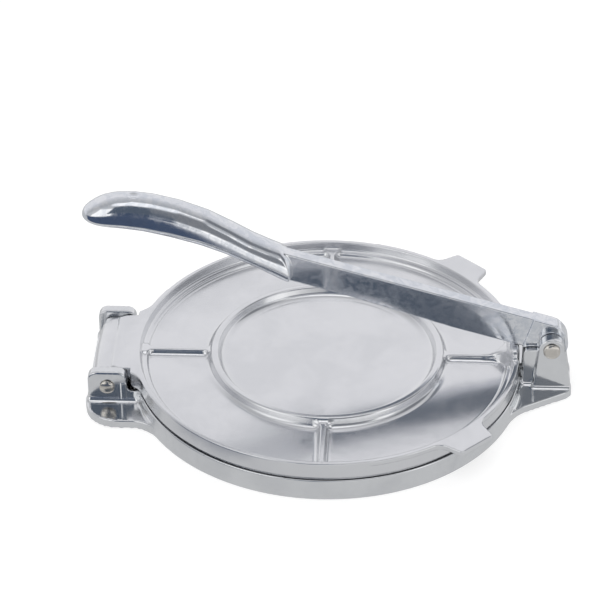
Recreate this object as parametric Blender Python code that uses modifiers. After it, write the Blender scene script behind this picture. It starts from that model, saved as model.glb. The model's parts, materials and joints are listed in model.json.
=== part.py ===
"""Tortilla press: two cast aluminium press plates, a lever and the two rivets that join them.

Lengths are in metres and angles in degrees. +X runs from the hinge to the lever's pivot, +Y to
the back and +Z up. The origin is the middle of the footprint, on the table. Places given as
reaches or offsets are measured from the upright axis that both round plates share.
"""
import math

import bmesh
import bpy
from mathutils import Matrix, Vector

# Lower press plate, a little wider than the upper one
BASE_OVERHANG = 0.0011
BASE_LEAN = 0.0007
BASE_HEIGHT = 0.0114
SKIRT_WALL = 0.0035

# Upper press plate
PLATE_RADIUS = 0.1036
PLATE_LEAN = 0.0003
FACE_INSET = 0.0031
FACE_STEP = 0.0011
FACE_GAP = 0.0004
LIP_HEIGHT = 0.0089
LIP_WIDTH = 0.0025
LIP_FOOT_WIDTH = 0.0034
LEDGE_RISE = 0.0017
LEDGE_WIDTH = 0.0030

# Web, ring and ribs, alike on the top of the upper plate and under the lower one
WEB_THICKNESS = 0.0032
RING_RADIUS = 0.0605
RING_HEIGHT = 0.0050
RING_FOOT_WIDTH = 0.0074
RING_CREST_WIDTH = 0.0032
RIB_COUNT = 4
RIB_HEIGHT = 0.0030
RIB_WIDTH = 0.0036
RIB_END_WIDTH = 0.0110
RIB_FLARE_LENGTH = 0.0050
ROOT_ROUND = 0.0020
EDGE_ROUND = 0.0007

# Hinge: its axis, the plinth it stands on, the ears and the lug between them. A standoff is from
# the round plate that the piece belongs to, and a toe is the land in front of what it carries
HINGE_STANDOFF = 0.0124
HINGE_HEIGHT = 0.0142
PLINTH_TOE = 0.0115
PLINTH_HALF_WIDTH = 0.0490
PLINTH_HEIGHT = 0.0050
PLINTH_CORNER = 0.0185
PLINTH_NECK_ROUND = 0.0080
LUG_WIDTH = 0.0496
LUG_SIDE_CLEARANCE = 0.0007
LUG_ROLL_CLEARANCE = 0.00045
SHOULDER_STANDOFF = 0.0004
SHOULDER_WIDENING = 0.0026
SHOULDER_ROOT_HALF_WIDTH = 0.0363
SHOULDER_ROUND = 0.0060
HINGE_EAR_THICKNESS = 0.0059
HINGE_EAR_LENGTH = 0.0206
HINGE_EAR_RISE = 0.0091
HINGE_EAR_ROUND = 0.0050
BRACE_THICKNESS = 0.0025
BRACE_LENGTH = 0.0070
BRACE_RISE = 0.0026
BRACE_DROP = 0.0003
BRACE_ROUND = 0.0040

# Lever pivot: the tongue it stands on, the clevis ears and their cheeks
PIVOT_STANDOFF = 0.0162
PIVOT_HEIGHT = 0.0289
TONGUE_TOE = 0.0005
TONGUE_TIP_HALF_WIDTH = 0.0129
TONGUE_ROOT_STANDOFF = 0.00056
TONGUE_ROOT_HALF_WIDTH = 0.0312
TONGUE_HEIGHT = 0.0045
TONGUE_CORNER = 0.0035
TONGUE_NECK_ROUND = 0.0050
CLEVIS_CLEARANCE = 0.0005
CLEVIS_EAR_THICKNESS = 0.0062
CLEVIS_TOP_RISE = 0.0070
CLEVIS_TOP_WIDTH = 0.0124
CLEVIS_FOOT_BACK = 0.0090
CLEVIS_FOOT_FRONT = 0.0112
CLEVIS_FOOT_ROUND = 0.0018
CHEEK_THICKNESS = 0.0030
CHEEK_LENGTH = 0.0146
CHEEK_DROP = 0.0019
CHEEK_ROUND = 0.0025

# Pressure block on the upper plate's rim, under the lever
BLOCK_INSET = 0.0004
BLOCK_LENGTH = 0.0056
BLOCK_WIDTH = 0.0220
BLOCK_TOP_WIDTH = 0.0120
BLOCK_ROUND = 0.0020
GUSSET_LENGTH = 0.0110
PRESS_GAP = 0.0004

# Finger tabs on the upper plate's rim
TAB_ANGLE_DEG = 46.4
TAB_STANDOFF = 0.0116
TAB_THICKNESS = 0.0030
TAB_TIP_WIDTH = 0.0222
TAB_NECK_STANDOFF = 0.0026
TAB_NECK_WIDTH = 0.0268
TAB_ROOT_WIDTH = 0.0350
TAB_NECK_ROUND = 0.0080
TAB_CORNER = 0.0025

# Lever, in its own axes: along it from the pivot to the grip, and square to that
LEVER_SLOPE_DEG = 16.4
BAR_WIDTH = 0.0070
BAR_RISE = 0.01135
BAR_DROP = 0.00665
BAR_END_DROP = 0.0042
BAR_TAPER_START = 0.0540
BAR_TAPER_END = 0.1140
BOSS_WIDTH = 0.0090
BOSS_LENGTH = 0.0139
BOSS_REACH = 0.0093
BOSS_DROP = 0.0075
BOSS_TOP_ROUND = 0.0130
BOSS_BOTTOM_ROUND = 0.0055
GRIP_START = 0.1428
GRIP_LENGTH = 0.1164
GRIP_WIDTH = 0.0200
GRIP_RISE = 0.0229
BAR_INTO_GRIP = 0.0150

# Rivets
HINGE_PIN_RADIUS = 0.0025
HINGE_HEAD_RADIUS = 0.0040
HINGE_TAIL_RADIUS = 0.0036
LEVER_PIN_RADIUS = 0.0028
LEVER_HEAD_RADIUS = 0.0045
LEVER_TAIL_RADIUS = 0.0040
HEAD_HEIGHT = 0.0018
HEAD_RIM = 0.0006
PIN_CLEARANCE = 0.0003
HEAD_CLEARANCE = 0.0003

# How far a hidden end runs into the solid that it joins, a cutter past the face it cuts, and the
# small step between two joined faces that would otherwise lie in one plane
OVERLAP = 0.0010
OVERRUN = 0.0020
SEAM_STEP = 0.0001

# Facets
DISC_STEPS = 60
PIN_STEPS = 20
CORNER_STEPS = 4
PROFILE_STEPS = 2
ROLL_STEPS = 12
EDGE_STEPS = 1
MERGE_DISTANCE = 0.00001
SMOOTH_ANGLE_DEG = 32.0

# Levels and places that follow from the sizes above
BASE_RADIUS = PLATE_RADIUS + BASE_OVERHANG
FACE_RADIUS = PLATE_RADIUS - FACE_INSET
HINGE_OFFSET = PLATE_RADIUS + HINGE_STANDOFF
PLINTH_REACH = HINGE_OFFSET + PLINTH_TOE
SHOULDER_OFFSET = PLATE_RADIUS + SHOULDER_STANDOFF
PIVOT_OFFSET = PLATE_RADIUS + PIVOT_STANDOFF
TONGUE_REACH = PIVOT_OFFSET + CLEVIS_FOOT_FRONT + TONGUE_TOE
TONGUE_ROOT_OFFSET = math.sqrt(BASE_RADIUS ** 2 - TONGUE_ROOT_HALF_WIDTH ** 2) + TONGUE_ROOT_STANDOFF
TAB_REACH = PLATE_RADIUS + TAB_STANDOFF
TAB_NECK_OFFSET = PLATE_RADIUS + TAB_NECK_STANDOFF
FACE_LEVEL = BASE_HEIGHT + FACE_GAP
WALL_LEVEL = FACE_LEVEL + FACE_STEP
LIP_LEVEL = WALL_LEVEL + LIP_HEIGHT
FLOOR_LEVEL = FACE_LEVEL + WEB_THICKNESS
UNDERSIDE_LEVEL = BASE_HEIGHT - WEB_THICKNESS
LIP_OUTER = PLATE_RADIUS - PLATE_LEAN
LIP_INNER = LIP_OUTER - LIP_WIDTH
LIP_MIDDLE = LIP_OUTER - LIP_WIDTH / 2
LIP_FOOT = LIP_OUTER - LIP_FOOT_WIDTH
LEDGE_INNER = LIP_FOOT - LEDGE_WIDTH
BLOCK_REACH = LIP_OUTER - BLOCK_INSET
SKIRT_INNER = BASE_RADIUS - SKIRT_WALL
LUG_HALF_WIDTH = LUG_WIDTH / 2
HINGE_EAR_INNER = LUG_HALF_WIDTH + LUG_SIDE_CLEARANCE
HINGE_EAR_OUTER = HINGE_EAR_INNER + HINGE_EAR_THICKNESS
CLEVIS_INNER = BOSS_WIDTH / 2 + CLEVIS_CLEARANCE
CLEVIS_OUTER = CLEVIS_INNER + CLEVIS_EAR_THICKNESS

# The grip's stations: shares of its length, half its width, and its rise for the top and bottom
GRIP_STATION_SHARES = (
    (0.000, 0.45, 0.070, -0.026),
    (0.006, 0.72, 0.175, -0.083),
    (0.017, 0.87, 0.297, -0.118),
    (0.036, 0.96, 0.419, -0.131),
    (0.062, 0.99, 0.507, -0.114),
    (0.096, 1.00, 0.550, -0.070),
    (0.148, 1.00, 0.581, -0.009),
    (0.234, 1.00, 0.655, 0.087),
    (0.337, 1.00, 0.795, 0.175),
    (0.457, 1.00, 0.935, 0.223),
    (0.594, 1.00, 1.000, 0.218),
    (0.715, 1.00, 0.974, 0.183),
    (0.809, 1.00, 0.891, 0.109),
    (0.878, 0.95, 0.760, 0.039),
    (0.930, 0.86, 0.603, 0.000),
    (0.966, 0.72, 0.432, -0.004),
    (0.990, 0.52, 0.288, 0.013),
    (1.000, 0.26, 0.183, 0.052),
)
# Half of the grip's section, from its crown to its underside: shares of half width and height
GRIP_SECTION_SHARES = (
    (0.00, 1.00),
    (0.34, 0.98),
    (0.63, 0.91),
    (0.84, 0.77),
    (0.96, 0.58),
    (1.00, 0.38),
    (0.97, 0.20),
    (0.88, 0.06),
    (0.74, 0.00),
)
# The grip's tip reaches past the plinth, so it sets where the footprint's middle lies
LEVER_SLOPE = math.radians(LEVER_SLOPE_DEG)
TIP_HEIGHT = GRIP_RISE * GRIP_STATION_SHARES[-1][3]
GRIP_REACH = ((GRIP_START + GRIP_LENGTH) * math.cos(LEVER_SLOPE) - TIP_HEIGHT * math.sin(LEVER_SLOPE)
              - PIVOT_OFFSET)
PLATE_AXIS_X = (max(PLINTH_REACH, GRIP_REACH) - TONGUE_REACH) / 2

# The gusset behind the pressure block: shares of its length, widening and climb
GUSSET_SHARES = (
    (0.00, 0.00, 0.00),
    (0.30, 0.10, 0.26),
    (0.55, 0.27, 0.50),
    (0.78, 0.55, 0.76),
    (1.00, 1.00, 1.00),
)

# Turns a flat outline so that it stands upright, in the XZ plane
UPRIGHT = Matrix.Rotation(math.radians(90.0), 4, 'X')


def clear_scene():
    """Remove whatever the file holds."""
    for item in list(bpy.data.objects):
        bpy.data.objects.remove(item)


def new_collection(name):
    """A collection linked to the scene."""
    collection = bpy.data.collections.new(name)
    bpy.context.scene.collection.children.link(collection)
    return collection


def new_object(name, data, collection, matrix=None):
    """An object in a collection, placed by a matrix."""
    item = bpy.data.objects.new(name, data)
    collection.objects.link(item)
    if matrix is not None:
        item.matrix_world = matrix
    return item


def place(x, y, z):
    """The matrix of a point given from the plates' axis."""
    return Matrix.Translation((PLATE_AXIS_X + x, y, z))


def turn(angle_deg):
    """A turn about the plates' axis."""
    return Matrix.Rotation(math.radians(angle_deg), 4, 'Z')


def arc(centre, radius, start_deg, end_deg, steps):
    """Points along an arc."""
    points = []
    for step in range(steps + 1):
        angle = math.radians(start_deg + (end_deg - start_deg) * step / steps)
        points.append((centre[0] + radius * math.cos(angle), centre[1] + radius * math.sin(angle)))
    return points


def corner_reach(corner, neighbour):
    """How much of the edge to a neighbour a corner's arc may use, by the two radii."""
    edge = Vector(neighbour[:2]) - Vector(corner[:2])
    return edge.length * corner[2] / (corner[2] + neighbour[2])


def rounded(corners, closed=True, steps=CORNER_STEPS):
    """Points of an outline of (x, y, radius) corners, with an arc at each that has a radius."""
    points = []
    for index, corner in enumerate(corners):
        at_end = not closed and index in (0, len(corners) - 1)
        if corner[2] == 0 or at_end:
            points.append(corner[:2])
            continue
        before = corners[index - 1]
        after = corners[(index + 1) % len(corners)]
        here = Vector(corner[:2])
        back = (Vector(before[:2]) - here).normalized()
        ahead = (Vector(after[:2]) - here).normalized()
        half_angle = back.angle(ahead) / 2
        reach = corner[2] / math.tan(half_angle)
        reach = min(reach, corner_reach(corner, before), corner_reach(corner, after))
        centre = here + (back + ahead).normalized() * (reach / math.cos(half_angle))
        start = here + back * reach - centre
        sweep = start.angle_signed(here + ahead * reach - centre)
        for step in range(steps + 1):
            spoke = start.copy()
            spoke.rotate(Matrix.Rotation(-sweep * step / steps, 2))
            points.append(tuple(centre + spoke))
    return points


def mirrored(corners):
    """A half outline on the +Y side, given in order, and its mirror image in reverse order."""
    return corners + [(x, -y, radius) for x, y, radius in reversed(corners)]


def weld(mesh):
    """Join loose seams and turn every face outwards."""
    work = bmesh.new()
    work.from_mesh(mesh)
    bmesh.ops.remove_doubles(work, verts=work.verts, dist=MERGE_DISTANCE)
    bmesh.ops.recalc_face_normals(work, faces=work.faces)
    work.to_mesh(mesh)
    work.free()


def slab(name, outline, thickness, collection, matrix, edge=EDGE_ROUND):
    """A flat solid: an outline extruded both ways from its plane, with its edges broken."""
    curve = bpy.data.curves.new(name, 'CURVE')
    curve.dimensions = '2D'
    curve.fill_mode = 'BOTH'
    curve.extrude = thickness / 2 - edge
    curve.bevel_depth = edge
    curve.offset = -edge
    curve.bevel_resolution = EDGE_STEPS
    spline = curve.splines.new('POLY')
    spline.points.add(len(outline) - 1)
    for point, (x, y) in zip(spline.points, outline):
        point.co = (x, y, 0.0, 1.0)
    spline.use_cyclic_u = True
    drawing = new_object(name + '_outline', curve, collection, matrix)
    bpy.context.view_layer.update()
    evaluated = drawing.evaluated_get(bpy.context.evaluated_depsgraph_get())
    mesh = bpy.data.meshes.new_from_object(evaluated)
    mesh.name = name
    weld(mesh)
    solid = new_object(name, mesh, collection, drawing.matrix_world.copy())
    bpy.data.objects.remove(drawing)
    return solid


def level_slab(name, outline, bottom, top, collection, matrix=None, edge=EDGE_ROUND):
    """A slab that lies flat between two levels, drawn from the plates' axis."""
    middle = place(0.0, 0.0, (bottom + top) / 2)
    if matrix is not None:
        middle = middle @ matrix
    return slab(name, outline, top - bottom, collection, middle, edge)


def turned(name, profile, steps, collection, matrix):
    """A turned solid from a profile of (radius, height) points, run from top to bottom."""
    mesh = bpy.data.meshes.new(name)
    mesh.from_pydata([(x, 0.0, z) for x, z in profile], [(i, i + 1) for i in range(len(profile) - 1)], [])
    item = new_object(name, mesh, collection, matrix)
    screw = item.modifiers.new('Screw', 'SCREW')
    screw.steps = steps
    screw.render_steps = steps
    screw.use_merge_vertices = True
    screw.merge_threshold = MERGE_DISTANCE
    return item


def rod(name, radius, length, collection, matrix):
    """A round cutter, centred on its matrix and lying along its local Z."""
    mesh = bpy.data.meshes.new(name)
    work = bmesh.new()
    bmesh.ops.create_cone(work, cap_ends=True, segments=PIN_STEPS, radius1=radius,
                          radius2=radius, depth=length)
    work.to_mesh(mesh)
    work.free()
    return new_object(name, mesh, collection, matrix)


def loft(name, sections, collection, matrix):
    """A closed solid through a row of sections that all have as many points."""
    mesh = bpy.data.meshes.new(name)
    work = bmesh.new()
    rings = [[work.verts.new(point) for point in section] for section in sections]
    for ring, following in zip(rings, rings[1:]):
        for index in range(len(ring)):
            after = (index + 1) % len(ring)
            work.faces.new((ring[index], ring[after], following[after], following[index]))
    work.faces.new(reversed(rings[0]))
    work.faces.new(rings[-1])
    bmesh.ops.recalc_face_normals(work, faces=work.faces)
    work.to_mesh(mesh)
    work.free()
    return new_object(name, mesh, collection, matrix)


def combine(target, tool, operation):
    """Join a tool to a solid, or cut it away."""
    boolean = target.modifiers.new(tool.name, 'BOOLEAN')
    boolean.operation = operation
    boolean.object = tool
    boolean.solver = 'EXACT'
    tool.hide_render = True
    tool.display_type = 'WIRE'


def material(name, colour, roughness):
    """A bare metal."""
    metal = bpy.data.materials.new(name)
    metal.use_nodes = True
    shader = metal.node_tree.nodes['Principled BSDF']
    shader.inputs['Base Color'].default_value = (*colour, 1.0)
    shader.inputs['Metallic'].default_value = 1.0
    shader.inputs['Roughness'].default_value = roughness
    return metal


def finish(item, metal):
    """Give a solid its metal and smooth shading."""
    item.data.materials.clear()
    item.data.materials.append(metal)
    item.data.shade_smooth()
    item.data.set_sharp_from_angle(angle=math.radians(SMOOTH_ANGLE_DEG))


def rib_outline(outer_radius, foot_radius):
    """Plan of one rib along +X, flared where it meets the ring and the rim."""
    ring_edge = RING_RADIUS + RING_FOOT_WIDTH / 2
    half = RIB_WIDTH / 2
    end_half = RIB_END_WIDTH / 2
    return rounded(mirrored([
        (RING_RADIUS, end_half, 0.0),
        (ring_edge, end_half - EDGE_ROUND, EDGE_ROUND),
        (ring_edge + RIB_FLARE_LENGTH, half, RIB_FLARE_LENGTH),
        (foot_radius - RIB_FLARE_LENGTH, half, RIB_FLARE_LENGTH),
        (foot_radius, end_half - EDGE_ROUND, EDGE_ROUND),
        (outer_radius, end_half, 0.0),
    ]))


def web_profile(floor, direction, outer_foot):
    """Profile of a web's ribbed side, from the rim's foot to the middle; direction is up or down."""
    crest = floor + direction * RING_HEIGHT
    foot_half = RING_FOOT_WIDTH / 2
    crest_half = RING_CREST_WIDTH / 2
    return [
        (outer_foot, floor, ROOT_ROUND),
        (RING_RADIUS + foot_half, floor, ROOT_ROUND),
        (RING_RADIUS + crest_half, crest, EDGE_ROUND),
        (RING_RADIUS - crest_half, crest, EDGE_ROUND),
        (RING_RADIUS - foot_half, floor, ROOT_ROUND),
        (0.0, floor, 0.0),
    ]


def base_blank(collection):
    """The lower plate as a solid disc."""
    profile = rounded([
        (0.0, BASE_HEIGHT, 0.0),
        (BASE_RADIUS - BASE_LEAN, BASE_HEIGHT, EDGE_ROUND),
        (BASE_RADIUS, 0.0, 0.0),
        (BASE_RADIUS, -OVERLAP, 0.0),
        (0.0, -OVERLAP, 0.0),
    ], closed=False, steps=PROFILE_STEPS)
    return turned('base_plate', profile, DISC_STEPS, collection, place(0.0, 0.0, 0.0))


def underside_cutter(collection):
    """Levels the feet, and hollows the lower plate so that its web, ring and skirt stay."""
    inner_side = web_profile(UNDERSIDE_LEVEL, -1.0, SKIRT_INNER)
    profile = rounded(list(reversed(inner_side)) + [
        (SKIRT_INNER, 0.0, 0.0),
        (BASE_RADIUS + TONGUE_REACH, 0.0, 0.0),
        (BASE_RADIUS + TONGUE_REACH, -OVERRUN, 0.0),
        (0.0, -OVERRUN, 0.0),
    ], closed=False, steps=PROFILE_STEPS)
    return turned('underside_hollow', profile, DISC_STEPS, collection, place(0.0, 0.0, 0.0))


def hinge_plinth(collection):
    """The low block that carries the hinge ears."""
    neck = BASE_RADIUS - SKIRT_WALL
    neck_x = -math.sqrt(neck ** 2 - PLINTH_HALF_WIDTH ** 2)
    outline = rounded(mirrored([
        (neck_x + PLINTH_NECK_ROUND, PLINTH_HALF_WIDTH + PLINTH_NECK_ROUND, 0.0),
        (neck_x, PLINTH_HALF_WIDTH, PLINTH_NECK_ROUND),
        (-PLINTH_REACH, PLINTH_HALF_WIDTH, PLINTH_CORNER),
    ]))
    return level_slab('hinge_plinth', outline, -OVERLAP - SEAM_STEP, PLINTH_HEIGHT, collection)


def hinge_ear(side, collection):
    """One upright ear of the hinge; side is +1 at the back and -1 in front."""
    half = HINGE_EAR_LENGTH / 2
    top = HINGE_HEIGHT + HINGE_EAR_RISE
    outline = rounded([
        (-HINGE_OFFSET - half, PLINTH_HEIGHT - OVERLAP, 0.0),
        (-HINGE_OFFSET - half, top, HINGE_EAR_ROUND),
        (-HINGE_OFFSET + half, top, HINGE_EAR_ROUND),
        (-HINGE_OFFSET + half, PLINTH_HEIGHT - OVERLAP, 0.0),
    ])
    middle = side * (HINGE_EAR_INNER + HINGE_EAR_OUTER) / 2
    return slab('hinge_ear', outline, HINGE_EAR_THICKNESS, collection,
                place(0.0, middle, 0.0) @ UPRIGHT)


def hinge_brace(side, collection):
    """The thin web that ties one hinge ear to the skirt."""
    ear_end = -HINGE_OFFSET + HINGE_EAR_LENGTH / 2
    top = BASE_HEIGHT - BRACE_DROP
    outline = rounded([
        (ear_end - OVERRUN, PLINTH_HEIGHT - OVERLAP, 0.0),
        (ear_end - OVERRUN, HINGE_HEIGHT + BRACE_RISE, 0.0),
        (ear_end + EDGE_ROUND, HINGE_HEIGHT + BRACE_RISE, EDGE_ROUND / 2),
        (ear_end + EDGE_ROUND, top, BRACE_ROUND),
        (ear_end + BRACE_LENGTH, top, 0.0),
        (ear_end + BRACE_LENGTH, PLINTH_HEIGHT - OVERLAP, 0.0),
    ])
    middle = side * (HINGE_EAR_OUTER - SEAM_STEP - BRACE_THICKNESS / 2)
    return slab('hinge_brace', outline, BRACE_THICKNESS, collection,
                place(0.0, middle, 0.0) @ UPRIGHT, EDGE_ROUND / 2)


def lever_tongue(collection):
    """The tapered tongue that carries the lever's ears."""
    outline = rounded(mirrored([
        (TONGUE_ROOT_OFFSET - TONGUE_NECK_ROUND, TONGUE_ROOT_HALF_WIDTH + TONGUE_NECK_ROUND, 0.0),
        (TONGUE_ROOT_OFFSET, TONGUE_ROOT_HALF_WIDTH, TONGUE_NECK_ROUND),
        (TONGUE_REACH, TONGUE_TIP_HALF_WIDTH, TONGUE_CORNER),
    ]))
    return level_slab('lever_tongue', outline, -OVERLAP - SEAM_STEP, TONGUE_HEIGHT, collection)


def clevis_ear(side, collection):
    """One upright ear of the lever's pivot."""
    foot = TONGUE_HEIGHT - OVERLAP
    top = PIVOT_HEIGHT + CLEVIS_TOP_RISE
    back = PIVOT_OFFSET - CLEVIS_FOOT_BACK
    front = PIVOT_OFFSET + CLEVIS_FOOT_FRONT
    outline = rounded([
        (back - CLEVIS_FOOT_ROUND, foot, 0.0),
        (back - CLEVIS_FOOT_ROUND, foot + OVERLAP / 2, 0.0),
        (back, foot + OVERLAP, CLEVIS_FOOT_ROUND),
        (PIVOT_OFFSET - CLEVIS_TOP_WIDTH / 2, top, CLEVIS_TOP_RISE),
        (PIVOT_OFFSET + CLEVIS_TOP_WIDTH / 2, top, CLEVIS_TOP_RISE),
        (front, foot, 0.0),
    ])
    middle = side * (CLEVIS_INNER + CLEVIS_OUTER) / 2
    return slab('clevis_ear', outline, CLEVIS_EAR_THICKNESS, collection,
                place(0.0, middle, 0.0) @ UPRIGHT)


def clevis_cheek(side, collection):
    """The thin web that runs from one lever ear towards the plates."""
    top = PIVOT_HEIGHT - CHEEK_DROP
    outline = rounded([
        (PIVOT_OFFSET - CHEEK_LENGTH, TONGUE_HEIGHT - OVERLAP, 0.0),
        (PIVOT_OFFSET - CHEEK_LENGTH, top, CHEEK_ROUND),
        (PIVOT_OFFSET - CLEVIS_TOP_WIDTH / 4, top, 0.0),
        (PIVOT_OFFSET - CLEVIS_TOP_WIDTH / 4, TONGUE_HEIGHT - OVERLAP, 0.0),
    ])
    middle = side * (CLEVIS_INNER + SEAM_STEP + CHEEK_THICKNESS / 2)
    return slab('clevis_cheek', outline, CHEEK_THICKNESS, collection,
                place(0.0, middle, 0.0) @ UPRIGHT, EDGE_ROUND / 2)


def underside_rib(index, collection):
    """One rib under the lower plate."""
    outline = rib_outline(SKIRT_INNER + OVERLAP, SKIRT_INNER)
    return level_slab('underside_rib', outline, UNDERSIDE_LEVEL - RIB_HEIGHT, UNDERSIDE_LEVEL + OVERLAP,
                      collection, turn(360.0 / RIB_COUNT * index))


def build_base_plate(parts, cutters):
    """The lower casting: press plate, hinge plinth and ears, lever tongue and ears."""
    base = base_blank(parts)
    for piece in (hinge_plinth(cutters), lever_tongue(cutters)):
        combine(base, piece, 'UNION')
    for side in (-1.0, 1.0):
        for shape in (hinge_ear, hinge_brace, clevis_ear, clevis_cheek):
            combine(base, shape(side, cutters), 'UNION')
    combine(base, underside_cutter(cutters), 'DIFFERENCE')
    for index in range(RIB_COUNT):
        combine(base, underside_rib(index, cutters), 'UNION')
    hinge_bore = rod('hinge_ear_bore', HINGE_PIN_RADIUS + PIN_CLEARANCE,
                     2 * (HINGE_EAR_OUTER + OVERRUN), cutters,
                     place(-HINGE_OFFSET, 0.0, HINGE_HEIGHT) @ UPRIGHT)
    lever_bore = rod('clevis_bore', LEVER_PIN_RADIUS + PIN_CLEARANCE,
                     2 * (CLEVIS_OUTER + OVERRUN), cutters,
                     place(PIVOT_OFFSET, 0.0, PIVOT_HEIGHT) @ UPRIGHT)
    combine(base, hinge_bore, 'DIFFERENCE')
    combine(base, lever_bore, 'DIFFERENCE')
    finish(base, material('base_casting', (0.60, 0.61, 0.63), 0.30))
    return base


def plate_blank(collection, matrix):
    """The upper plate as a solid disc with a step round its press face."""
    profile = rounded([
        (0.0, LIP_LEVEL, 0.0),
        (LIP_OUTER, LIP_LEVEL, EDGE_ROUND),
        (PLATE_RADIUS, WALL_LEVEL, EDGE_ROUND),
        (FACE_RADIUS, WALL_LEVEL, 0.0),
        (FACE_RADIUS, FACE_LEVEL, EDGE_ROUND / 2),
        (0.0, FACE_LEVEL, 0.0),
    ], closed=False, steps=PROFILE_STEPS)
    return turned('upper_plate', profile, DISC_STEPS, collection, matrix)


def recess_cutter(collection):
    """The dish in the upper plate, which leaves its lip, ledge, floor and ring."""
    edge_level = LIP_LEVEL - EDGE_ROUND
    profile = rounded([
        (0.0, edge_level + OVERRUN, 0.0),
        (LIP_INNER + OVERRUN, edge_level + OVERRUN, 0.0),
        (LIP_INNER, edge_level, EDGE_ROUND),
        (LIP_FOOT, FLOOR_LEVEL + LEDGE_RISE, EDGE_ROUND),
        (LEDGE_INNER, FLOOR_LEVEL + LEDGE_RISE, EDGE_ROUND),
    ] + web_profile(FLOOR_LEVEL, 1.0, LEDGE_INNER - ROOT_ROUND), closed=False, steps=PROFILE_STEPS)
    return turned('plate_recess', profile, DISC_STEPS, collection, place(0.0, 0.0, 0.0))


def hinge_lug(collection):
    """The lug between the hinge ears: flat on top, and rolled round the pin at its end."""
    radius = HINGE_HEIGHT - PLINTH_HEIGHT - LUG_ROLL_CLEARANCE
    top = min(LIP_LEVEL - HINGE_HEIGHT, radius) - 2 * SEAM_STEP
    bottom = min(HINGE_HEIGHT - WALL_LEVEL, radius) - 2 * SEAM_STEP
    start = 180.0 - math.degrees(math.asin(top / radius))
    end = 360.0 - math.degrees(math.asin(bottom / radius))
    roll = arc((-HINGE_OFFSET, HINGE_HEIGHT), radius, start, end, ROLL_STEPS)
    inner = -LIP_INNER + LIP_WIDTH
    outline = [(inner, HINGE_HEIGHT + top)] + roll + [(inner, HINGE_HEIGHT - bottom)]
    return slab('hinge_lug', outline, LUG_WIDTH, collection, place(0.0, 0.0, 0.0) @ UPRIGHT)


def lug_shoulder(collection):
    """The widening between the lug and the upper plate's rim."""
    root_x = -math.sqrt(LIP_MIDDLE ** 2 - SHOULDER_ROOT_HALF_WIDTH ** 2)
    wide = LUG_HALF_WIDTH + SHOULDER_WIDENING
    outline = rounded(mirrored([
        (root_x + LIP_WIDTH, SHOULDER_ROOT_HALF_WIDTH, 0.0),
        (root_x, SHOULDER_ROOT_HALF_WIDTH, 0.0),
        (-SHOULDER_OFFSET + SHOULDER_WIDENING, wide + SHOULDER_WIDENING, SHOULDER_ROUND),
        (-SHOULDER_OFFSET, wide, EDGE_ROUND),
        (-SHOULDER_OFFSET, LUG_HALF_WIDTH - EDGE_ROUND, 0.0),
    ]))
    return level_slab('lug_shoulder', outline, WALL_LEVEL + SEAM_STEP, LIP_LEVEL - SEAM_STEP, collection)


def finger_tab(angle_deg, collection):
    """One flat tab on the rim, level with the top of the lip."""
    outline = rounded(mirrored([
        (LIP_INNER - LIP_WIDTH, TAB_ROOT_WIDTH / 2, 0.0),
        (LIP_INNER, TAB_ROOT_WIDTH / 2, 0.0),
        (TAB_NECK_OFFSET, TAB_NECK_WIDTH / 2, TAB_NECK_ROUND),
        (TAB_REACH, TAB_TIP_WIDTH / 2, TAB_CORNER),
    ]))
    top = LIP_LEVEL - SEAM_STEP
    return level_slab('finger_tab', outline, top - TAB_THICKNESS, top, collection, turn(angle_deg))


def plate_rib(index, collection):
    """One rib on the upper plate."""
    outline = rib_outline(LIP_INNER, LEDGE_INNER)
    return level_slab('plate_rib', outline, FLOOR_LEVEL - OVERLAP, FLOOR_LEVEL + RIB_HEIGHT,
                      collection, turn(360.0 / RIB_COUNT * index))


def block_top():
    """Height of the pressure block: just under the resting lever, over the block's outer edge."""
    run = PIVOT_OFFSET - BLOCK_REACH
    along = (run - BAR_DROP * math.sin(LEVER_SLOPE)) / math.cos(LEVER_SLOPE)
    underside = along * math.sin(LEVER_SLOPE) - BAR_DROP * math.cos(LEVER_SLOPE)
    return PIVOT_HEIGHT + underside - PRESS_GAP


def block_section(x, half_width, top_half_width, bottom, top):
    """Section of the pressure block or its gusset, square to X."""
    corners = rounded([
        (-half_width, bottom, 0.0),
        (half_width, bottom, 0.0),
        (top_half_width, top, BLOCK_ROUND),
        (-top_half_width, top, BLOCK_ROUND),
    ])
    return [(x, y, z) for y, z in corners]


def pressure_block(collection):
    """The block on the rim that the lever presses on, with its gusset along the rib."""
    top = block_top()
    inner = BLOCK_REACH - BLOCK_LENGTH
    low = FLOOR_LEVEL - OVERLAP
    rib_top = FLOOR_LEVEL + RIB_HEIGHT
    sections = []
    for along, widening, climb in GUSSET_SHARES:
        half = (RIB_WIDTH + (BLOCK_WIDTH - RIB_WIDTH) * widening) / 2
        top_half = (RIB_WIDTH + (BLOCK_TOP_WIDTH - RIB_WIDTH) * widening) / 2
        sections.append(block_section(inner - GUSSET_LENGTH * (1 - along), half,
                                      min(top_half, half * BLOCK_TOP_WIDTH / BLOCK_WIDTH),
                                      low, rib_top + (top - rib_top) * climb))
    sections.append(block_section(BLOCK_REACH, BLOCK_WIDTH / 2, BLOCK_TOP_WIDTH / 2,
                                  LIP_LEVEL - OVERLAP, top))
    return loft('pressure_block', sections, collection, place(0.0, 0.0, 0.0))


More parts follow.
